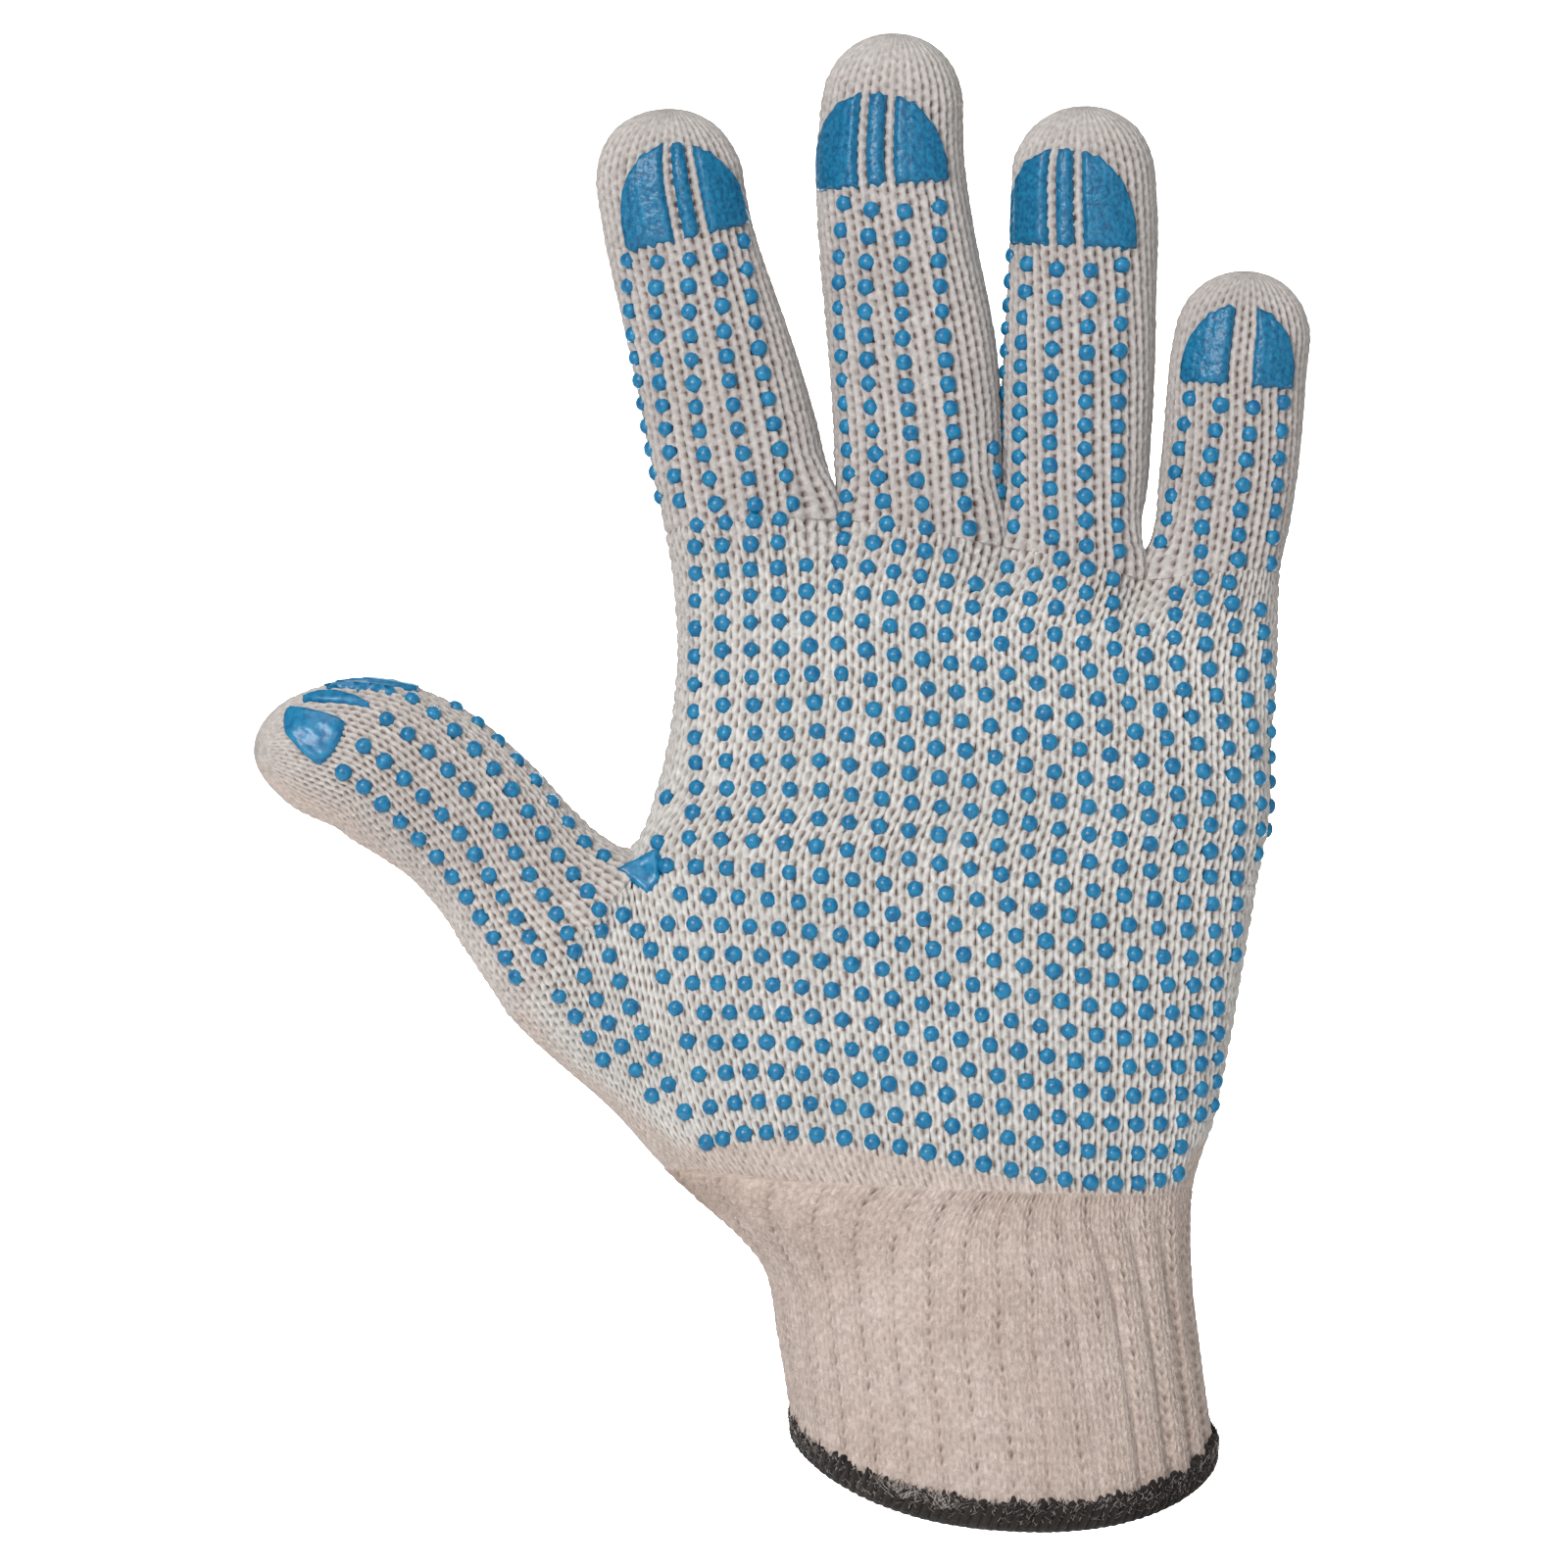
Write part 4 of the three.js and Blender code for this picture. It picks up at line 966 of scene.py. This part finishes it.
tubeKnits = {
    "index": dict(courses=40, seed=21), "middle": dict(courses=46, seed=22), "ring": dict(courses=42, seed=23),
    "little": dict(courses=29, seed=24), "thumb": dict(courses=38, seed=25),
}
fingerKnit = dict(
    walesPer=([1.4] * fingerFront + [4 / 3] * side) * 2, seam=range(fingerColumns), scale=1.9,
    material=cottonFinger, style=steepKnit,
)
thumbKnit = dict(
    walesPer=[2] * thumbColumns, seam=range(thumbFront, thumbFront + side), scale=2.3,
    material=cottonThumb, style=openKnit,
)
for name, knit in tubeKnits.items():
    tube, surface, isThumb = tubes[name], tubeSurfaces[name], name == "thumb"
    kind = thumbKnit if isThumb else fingerKnit
    top = leaned(name, 1, axisPoint(tube, 1))
    knitPiece(
        name + "_knit", name + "_stall", surface, kind["walesPer"], knit["courses"],
        kind["material"], knit["seed"], kind["style"], start=0.012,
        tintAt=bareTube(surface.columns, isThumb), calmAt=calmTube(surface.columns, isThumb),
        fadeTop=np.ones(surface.columns, bool),
        fadeLow=np.isin(np.arange(surface.columns), list(kind["seam"])),
        topCourses=1.2, poles=(top, top - alongAt(tube, 0.98) * 1.2), scale=kind["scale"],
    )
print("fingers done")

# the cuff's folds, at its right side, each have a place, a width and a depth
cuffKnit = dict(
    wales=99, courses=24, ribs=33, relief=0.16,
    folds=[
        (2.0, 0.2, 0.3), (4.3, 0.22, 0.6), (6.6, 0.25, 0.8), (8.4, 0.28, 0.9), (10.2, 0.3, 1.0),
        (11.8, 0.3, 0.8),
    ],
)


# places counted either way from a place on the cuff
def cuffAside(places, middle=0.0):
    return (places - middle + cuffColumns / 2) % cuffColumns - cuffColumns / 2


def ribs(places, share):
    turn = places / cuffColumns * 2 * np.pi
    ribbing = -cuffKnit["relief"] * np.cos(turn * cuffKnit["ribs"]) * np.clip(share / 0.12, 0, 1)
    folds = 0
    for middle, width, depth in cuffKnit["folds"]:
        away = cuffAside(places, middle) - (share - 0.5) * 0.5
        folds = folds - depth * np.exp(-((away / width) ** 2))
    return ribbing + folds * np.clip(share * 4, 0, 1)


# painted shade: a brown shadow under the thumb's base, and a slighter one all round the cuff's top
def paintedShadeUnderThumb(places, share):
    brown = 0.8 * np.exp(-(((cuffAside(places) + 13) / 4) ** 2 + ((share - 0.08) / 0.16) ** 2))
    return brown + 0.12 * np.exp(-((share / 0.25) ** 2))


# the wales stand upright at the front and crowd at the thumb's side
def upright(places, share):
    return 4.4 * np.clip(1 - share / 0.5, 0, 1) ** 2 * np.exp(-(((cuffAside(places) + 5) / 9) ** 2))


knitPiece(
    "cuff_knit", "rib_cuff", cuffSurface, [cuffKnit["wales"] / cuffColumns] * cuffColumns,
    cuffKnit["courses"], cottonRib, 31, closeKnit, sides=6, fadeTop=np.ones(cuffColumns, bool), wall=1.8,
    fold=ribs, scale=1.8, marked=3, warp=upright, jointPitShade=0.1, tintAt=paintedShadeUnderThumb,
)
print("cuff done")

# points round a stitch and over it; lengths in millimetres: the teeth at its top, a stitch's ridge, how far
# it is sunk and how uneven it is; in shares: the slant over the height, where the teeth begin, and how far
# out its front side still reaches
hem = dict(
    stitches=118, sides=6, rows=26, tooth=1.1, ridge=0.55, sunk=0.3, uneven=0.06, slant=1.1, teethFrom=0.7,
    front=-0.4,
)
# out of the cuff's outline in shares of hemWall, up in shares of hemBand
hemProfile = np.array([(-0.3, -0.12), (0.14, 0.12), (0.2, 0.55), (0.12, 1.0), (-0.66, 1.0), (-0.84, 0.25)])


def hemPiece():
    rng = np.random.default_rng(41)
    count = hem["stitches"] * hem["sides"]
    at = np.arange(count) / count
    line = gather(hemLine[None], np.zeros((1, count), int), at[None] * cuffColumns)[0]
    ahead = np.roll(line, -1, 0) - np.roll(line, 1, 0)
    out = np.stack([ahead[:, 1], -ahead[:, 0], np.zeros(count)], 1)
    out /= np.linalg.norm(out, axis=1, keepdims=True)
    section = np.arange(hem["rows"]) / hem["rows"] * len(hemProfile)
    corners = np.pad(hemProfile, ((0, 0), (0, 1)))
    profile = gather(corners[None], np.zeros((1, hem["rows"]), int), section[None])[0]
    stitch = np.arange(count) / hem["sides"]
    longer = np.repeat(rng.uniform(-0.3, 1, hem["stitches"]), hem["sides"]) * hem["tooth"]
    points, pitShades = [], []
    for outAt, upAt, _ in profile:
        inFront = outAt > hem["front"]
        ridge = np.abs(np.cos(np.pi * (stitch - upAt * hem["slant"]))) ** 0.8
        lift = hem["ridge"] * ridge - hem["sunk"] + rng.normal(0, hem["uneven"], count)
        tooth = max(0, upAt - hem["teethFrom"]) / (1 - hem["teethFrom"]) * longer * (0.4 + 0.6 * ridge)
        rise = upAt * hemBand + tooth * inFront
        away = outAt * hemWall + lift * (1 if inFront else -0.5)
        points.append(line + out * away[:, None] - down * rise[:, None])
        # painted shade in the hollows between the ridges of the stitches
        pitShades.append(np.clip(0.75 - ridge, 0, 1))
    grid, pitShade = np.array(points), np.array(pitShades)
    ids = np.arange(grid.shape[0] * count).reshape(-1, count)
    around, over = np.roll(np.arange(count), -1), np.roll(np.arange(len(grid)), -1)
    face = np.stack([ids, ids[:, around], ids[over][:, around], ids[over]], 2).reshape(-1, 4)
    high = np.concatenate([stitch, [hem["stitches"]]])
    uv = np.array([
        [(high[c], r), (high[c + 1], r), (high[c + 1], r + 1), (high[c], r + 1)]
        for r in range(len(grid)) for c in range(count)
    ], float).reshape(-1, 2) * [1, 0.3]
    piece = makeMesh("hem_overlock", grid.reshape(-1, 3), [face], overlockYarn, uv, {"pitShade": pitShade})
    settle(piece, "hem_binding")


hemPiece()


# short loose fibres, each a bent three-sided hair from a point of the hem's line: how many, between which
# heights they start, how far they lean, how long and thick they are, and the places that they keep to
def hemFibres(name, count, low, high, lean, reach, size, material, seed, near=None):
    rng = np.random.default_rng(seed)
    if near is None:
        at = rng.uniform(0, cuffColumns, count)
    else:
        at = rng.choice(near, count) + rng.normal(0, 0.35, count)
    line = gather(hemLine[None], np.zeros((1, count), int), (at % cuffColumns)[None])[0]
    ahead = gather(hemLine[None], np.zeros((1, count), int), ((at + 0.1) % cuffColumns)[None])[0] - line
    ahead /= np.linalg.norm(ahead, axis=1, keepdims=True)
    out = np.stack([ahead[:, 1], -ahead[:, 0], np.zeros(count)], 1)
    start = rng.uniform(low, high, count)[:, None]
    length = rng.uniform(0.5, 1, count)[:, None] * reach
    slope = rng.normal(0, lean, count)[:, None]
    curl = rng.uniform(-0.2, 0.5, count)[:, None]
    steps = np.linspace(0, 1, 5)
    path = np.stack([
        line - down * (start + length * s) + ahead * slope * length * s
        + out * (0.55 + curl * np.sin(s * 3) + rng.uniform(0, 0.25, (count, 1)))
        for s in steps
    ], 1)
    turns = np.arange(3) / 3 * 2 * np.pi
    thick = size * (1 - steps[None, :, None, None] * 0.6)
    ring = out[:, None, None] * np.cos(turns)[:, None] + ahead[:, None, None] * np.sin(turns)[:, None]
    points = path[:, :, None] + ring * thick
    ids = np.arange(points[..., 0].size).reshape(points.shape[:3])
    quads = np.stack([ids[:, :-1], np.roll(ids, -1, 2)[:, :-1], np.roll(ids, -1, 2)[:, 1:], ids[:, 1:]], 3)
    ends = np.concatenate([ids[:, 0, ::-1], ids[:, -1]])
    settle(makeMesh(name, points.reshape(-1, 3), [quads.reshape(-1, 4), ends], material))


hemFibres("hem_fibres_dark", 700, 2.4, 4.2, 0.8, 1.3, 0.12, overlockYarn, 42)
hemFibres("hem_fibres_light", 760, 2.3, 4.0, 1.4, 1.0, 0.075, whiteYarn, 43)
hemFibres("hem_fibres_grey", 900, 0.9, 3.8, 1.2, 0.8, 0.11, greyYarn, 45)
hemFibres("hem_tufts", 90, 2.0, 3.6, 1.6, 1.6, 0.13, whiteYarn, 44, near=(50.6, 51.0, 52.6))
print("hem done")

# the pads that a patch is split into, each with its edges in shares of the patch's half spread
patchStrips = {
    3: [("left", -1, -0.24), ("centre", -0.13, 0.13), ("right", 0.24, 1)],
    2: [("left", -1, -0.14), ("right", 0.24, 1)],
}
patchPower, patchShoulder = 2.6, 0.25
# in millimetres: a pad's top and its sunk edge over the knit, the width of its round edge, the ribs and courses
# of the knit that show through it, and how uneven it is
padShape = dict(top=1.15, bottom=-0.2, edge=0.8, rib=1.9, course=1.85, uneven=0.1)


# a closed skin over a grid of surface points, with rounded edges and the knit showing through
def patchPiece(name, grid, node, material, relief=0.16):
    rows, columns = grid.shape[:2]
    bottom, full = padShape["bottom"], padShape["top"] - padShape["bottom"]
    normal = np.cross(np.gradient(grid, axis=1), np.gradient(grid, axis=0))
    normal /= np.linalg.norm(normal, axis=2, keepdims=True)
    if normal[..., 1].mean() > 0:
        normal = -normal
    along = np.linalg.norm(np.diff(grid, axis=0), axis=2).sum(0) / (rows - 1)
    wide = np.linalg.norm(np.diff(grid, axis=1), axis=2).sum(1) / (columns - 1)
    j, i = np.meshgrid(np.arange(rows), np.arange(columns), indexing="ij")
    fromEdge = np.minimum(
        np.minimum(j, rows - 1 - j) * along[None], np.minimum(i, columns - 1 - i) * wide[:, None]
    )
    share = np.clip(fromEdge / padShape["edge"], 0, 1)
    lift = bottom + full * np.sqrt(np.clip(1 - (1 - share) ** 2, 0, 1))
    x, z = grid[..., 0], grid[..., 2]
    ribCount = max(1, round(wide.mean() * columns / padShape["rib"]))
    knit = np.cos(i / (columns - 1) * 2 * np.pi * ribCount)
    knit = knit * (0.6 + 0.4 * np.cos(z * 2 * np.pi / padShape["course"] + x * 2))
    lift = lift + (relief * knit + padShape["uneven"] * wander(x * 9, z * 9, 7)) * share
    skin = grid + normal * lift[..., None]
    under = grid + normal * (bottom - 0.4)
    points = np.concatenate([skin.reshape(-1, 3), under.reshape(-1, 3)])
    a = np.arange(rows * columns).reshape(rows, columns)
    b = a + a.size
    quads = [np.stack([a[:-1, :-1], a[:-1, 1:], a[1:, 1:], a[1:, :-1]], 2).reshape(-1, 4)]
    quads.append(np.stack([b[:-1, :-1], b[1:, :-1], b[1:, 1:], b[:-1, 1:]], 2).reshape(-1, 4))
    loop = np.concatenate([a[0, :-1], a[:-1, -1], a[-1, :0:-1], a[:0:-1, 0]])
    after = np.roll(loop, -1)
    quads.append(np.stack([loop, loop + a.size, after + a.size, after], 1))
    settle(makeMesh(name, points, quads, material), node)


for name in fingerNames:
    tube, patch = tubes[name], tubes[name]["patch"]
    for place, low, high in patchStrips[patch["strips"]]:
        columns = 7 if place == "centre" else 18
        grid = []
        for j in np.linspace(0, 1, 26):
            row = []
            for share in np.linspace(low, high, columns):
                dome = max(patchShoulder, (1 - abs(share) ** patchPower) ** 0.5)
                uneven = 0.012 * np.sin(share * 23 + patch["height"] * 9) + 0.01 * np.sin(share * 41)
                up = j * dome + (2 * j - 1) * uneven
                at = 1 - patch["fromTip"] - patch["height"] + up * patch["height"]
                row.append(leaned(name, at, ringAt(tube, at, [share * patch["halfSpread"]]))[0])
            grid.append(row)
        patchPiece(f"{name}_pad_{place}", np.array(grid), f"{name}_patch_{place}", shadedBluePvc)


# the front of the glove under a place in the picture's plane
def frontTree():
    verts, faces = [], []
    for surface in (upperSurface, heelSurface, *tubeSurfaces.values()):
        rows = surface.points[::4, ::2]
        n, m = rows.shape[:2]
        first = len(verts)
        verts += [Vector(p) for p in rows.reshape(-1, 3)]
        for j in range(n - 1):
            for i in range(m):
                k, above, below = (i + 1) % m, first + j * m, first + (j + 1) * m
                faces.append((above + i, above + k, below + k, below + i))
    return BVHTree.FromPolygons(verts, faces)


tree = frontTree()
eye = np.array([-35.2, -650.0, 115.7])  # the camera's place in millimetres


# the front seen by the camera through a place in the plane of the glove's middle
def seen(x, z):
    target = np.array([x, 0, z])
    hit = tree.ray_cast(Vector(eye), Vector(target - eye).normalized())[0]
    return tuple(hit) if hit else tuple(tree.find_nearest(Vector(target + (eye - target) * 0.02))[0])


def eased(grid, rounds):
    for _ in range(rounds):
        padded = np.pad(grid[..., 1], 1, mode="edge")
        grid[..., 1] = (padded[:-2, 1:-1] + padded[2:, 1:-1] + padded[1:-1, :-2] + padded[1:-1, 2:]) / 4
    return grid


# the thumb's, along its upper side: the ends of each, how far its middle bows up, half its height, fullness
thumbPads = {
    "centre": ((-112.6, 128.9), (-101.6, 127.9), 0.9, 0.95, 1.8),
    "right": ((-108.8, 131.4), (-93.8, 130.2), 1.3, 0.9, 1.8),
}
for place, (start, end, bow, half, power) in thumbPads.items():
    start, end = np.array(start), np.array(end)
    across = np.array([start[1] - end[1], end[0] - start[0]]) / np.linalg.norm(end - start)
    grid = []
    for step in np.linspace(-1, 1, 25):
        reach = max(0.2, (1 - abs(step) ** power) ** (1 / power)) * half
        middle = (start * (1 - step) + end * (1 + step)) / 2 + across * bow * (1 - step**2)
        grid.append([seen(*(middle + across * reach * over)) for over in np.linspace(-1, 1, 16)])
    patchPiece(f"thumb_pad_{place}", eased(np.array(grid), 4), f"thumb_patch_{place}", bluePvc, relief=0.05)

# the large one at the thumb's tip: its corners, how far it fills them, and how much of each is cut off
tipPad = dict(corners=np.array([(-114.2, 127.9), (-105.6, 125.6), (-109.6, 118.6), (-115.3, 124.0)]),
              fill=1.22, cut=0.32)
grid = []
for u in np.linspace(-1, 1, 24):
    row = []
    for v in np.linspace(-1, 1, 24):
        s = (1 + tipPad["fill"] * u * (1 - tipPad["cut"] * v * v) ** 0.5) / 2
        t = (1 + tipPad["fill"] * v * (1 - tipPad["cut"] * u * u) ** 0.5) / 2
        share = np.array([(1 - s) * (1 - t), s * (1 - t), s * t, (1 - s) * t])
        row.append(seen(*(share @ tipPad["corners"])))
    grid.append(row)
patchPiece("thumb_pad_left", eased(np.array(grid), 4), "thumb_patch_left", bluePvc, relief=0.05)

# the small one in the thumb's crotch: its corners in shares of its width and height, from the web's top
webPad = {"left": (-0.32, -0.39), "top": (0.68, 0.1), "right": (0.69, -0.58), "bottom": (0.45, -0.9)}
webPadSize = (7.8, 8.2)
crotch = webTop(thumbWeb)
corner = {place: np.array(share) * webPadSize for place, share in webPad.items()}
grid = []
for j in np.linspace(0, 1, 14):
    row = []
    for i in np.linspace(0, 1, 14):
        low = corner["left"] * (1 - i) + corner["bottom"] * i
        high = corner["top"] * (1 - i) + corner["right"] * i
        x, z = low * (1 - j) + high * j
        hit = tree.ray_cast(Vector((crotch[0] + x, -100, crotch[2] + z)), Vector((0, 1, 0)))[0]
        row.append(tuple(hit) if hit else (crotch[0] + x, 0, crotch[2] + z))
    grid.append(row)
patchPiece("web_pad", eased(np.array(grid), 30), "web_patch", bluePvc, relief=0.03)
print("patches done")

dotShape = dict(radius=1.32, seat=-0.3, rim=0.3, top=1.3, sides=12)


# a dot standing on the knit: a round wall, then a dome
def dotTemplate():
    rings = [(1.0, dotShape["seat"]), (1.0, dotShape["rim"])]
    for turn in (30, 60):
        angle = math.radians(turn)
        dome = (dotShape["top"] - dotShape["rim"]) * math.sin(angle)
        rings.append((math.cos(angle), dotShape["rim"] + dome))
    turns = np.arange(dotShape["sides"]) / dotShape["sides"] * 2 * np.pi
    rings = [
        np.stack([np.cos(turns) * size * dotShape["radius"], np.sin(turns) * size * dotShape["radius"],
                  np.full(dotShape["sides"], up)], 1)
        for size, up in rings
    ]
    return np.concatenate(rings + [[(0, 0, dotShape["top"])], [(0, 0, dotShape["seat"])]])


def dotFaces(count):
    sides = dotShape["sides"]
    each = 4 * sides + 2
    a, b = np.arange(sides), np.roll(np.arange(sides), -1)
    quads = np.concatenate([np.stack([a, b, b + sides, a + sides], 1) + r * sides for r in range(3)])
    top = np.stack([a + 3 * sides, b + 3 * sides, np.full(sides, each - 2)], 1)
    base = np.stack([b, a, np.full(sides, each - 1)], 1)
    offsets = (np.arange(count) * each)[:, None, None]
    ends = np.concatenate([top, base])
    return [(faces[None] + offsets).reshape(-1, faces.shape[1]) for faces in (quads, ends)]


def dotPiece(name, surface, shares, places, seed):
    rng = np.random.default_rng(seed)
    shape = dotTemplate()
    shares, places = np.asarray(shares), np.asarray(places) % surface.columns
    count = len(shares)
    centre = surface.raised(shares, places, np.zeros(count))
    normal = surface.raised(shares, places, np.ones(count)) - centre
    aside = surface.raised(shares, places + 0.05, np.zeros(count)) - centre
    aside -= normal * (aside * normal).sum(1, keepdims=True)
    aside /= np.linalg.norm(aside, axis=1, keepdims=True)
    other = np.cross(normal, aside)
    size = rng.uniform(0.94, 1.06, (count, 1, 1))
    points = centre[:, None] + normal[:, None] * shape[None, :, 2:]
    points = points + (aside[:, None] * shape[None, :, :1] + other[:, None] * shape[None, :, 1:2]) * size
    settle(makeMesh(name, points.reshape(-1, 3), dotFaces(count), bluePvc))


columns, dotCourses = latticeDots(palmLattice, palmDots)
upperCourses, heelCourses = upperPalm["courses"], heelOfHand["courses"]
onUpper = dotCourses < upperCourses
dotPiece("palm_dots", upperSurface, dotCourses[onUpper] / upperCourses, columns[onUpper], 51)
heelDotShares = list((dotCourses[~onUpper] - upperCourses) / heelCourses)
heelDotPlaces = list(columns[~onUpper] + thumbFront)
for column, course, lastColumn, lastCourse, bend, dots in heelTracks:
    step = np.arange(dots) / (dots - 1)
    heelDotPlaces += list(column + (lastColumn - column) * step + bend * 4 * step * (1 - step))
    heelDotShares += list((course + (lastCourse - course) * step) / heelCourses)
dotPiece("heel_dots", heelSurface, heelDotShares, heelDotPlaces, 52)
for seed, (name, rows) in enumerate(tubeDots.items()):
    columns, dotCourses = latticeDots(tubeLattices[name], rows["spans"])
    dotPiece(name + "_dots", tubeSurfaces[name], 1 - dotCourses / rows["length"], columns, 60 + seed)
print("dots done")


# the sweep of paper: level ahead of the bend, round it, then upright, in metres
paper = dict(level=-0.09, front=-1.6, bend=0.5, radius=0.4, top=1.6, half=2.2, steps=8)


def backdrop():
    level, bend, radius = paper["level"], paper["bend"], paper["radius"]
    sweep = [(paper["front"], level), (bend, level)]
    for k in range(1, paper["steps"] + 1):
        turn = k / paper["steps"] * math.pi / 2
        sweep.append((bend + radius * math.sin(turn), level + radius * (1 - math.cos(turn))))
    sweep.append((bend + radius, paper["top"]))
    points = [(x, y, z) for y, z in sweep for x in (-paper["half"], paper["half"])]
    faces = [(2 * k, 2 * k + 1, 2 * k + 3, 2 * k + 2) for k in range(len(sweep) - 1)]
    mesh = bpy.data.meshes.new("floor")
    mesh.from_pydata(points, [], faces)
    mesh.polygons.foreach_set("use_smooth", [True] * len(faces))
    material, tree, shader = newMaterial("paper", 0.9, 0.1)
    shader.inputs["Base Color"].default_value = (0.93, 0.93, 0.93, 1)
    mesh.materials.append(material)
    placed("floor", mesh)


backdrop()


def areaLight(name, place, target, size, power, spread=180):
    light = bpy.data.lights.new(name, "AREA")
    light.shape = "SQUARE"
    light.spread = math.radians(spread)
    light.size = size
    light.energy = power
    lamp = placed(name, light)
    lamp.location = place
    lamp.rotation_euler = (Vector(target) - Vector(place)).to_track_quat("-Z", "Y").to_euler()


areaLight("key", (-0.42, -0.93, 0.42), (0, 0, 0.12), 0.4, 5.7)
areaLight("fill", (0.5, -0.9, 0.0), (0, 0, 0.1), 0.6, 0.35)
areaLight("glint", (0.06, -0.7, 0.3), (0, 0, 0.12), 0.035, 0.35)
areaLight("top", (-0.1, -0.45, 0.85), (0, 0, 0.15), 0.5, 1.5)
areaLight("wall_wash", (0, 0.2, 1.1), (0, 0.9, 0.3), 0.5, 9, 80)
areaLight("floor_wash", (0, 0.25, 0.6), (0, 0.65, -0.09), 0.4, 3.5, 70)
world = bpy.data.worlds.new("studio")
world.use_nodes = True
world.node_tree.nodes["Background"].inputs["Color"].default_value = (1, 1, 1, 1)
world.node_tree.nodes["Background"].inputs["Strength"].default_value = 0.3
bpy.context.scene.world = world
bpy.context.scene.view_settings.view_transform = "Standard"

shot = bpy.data.cameras.new("camera")
shot.angle = math.radians(21.92)
camera = placed("camera", shot)
camera.location = eye / 1000
camera.rotation_euler = (math.pi / 2, 0, 0)
bpy.context.scene.camera = camera
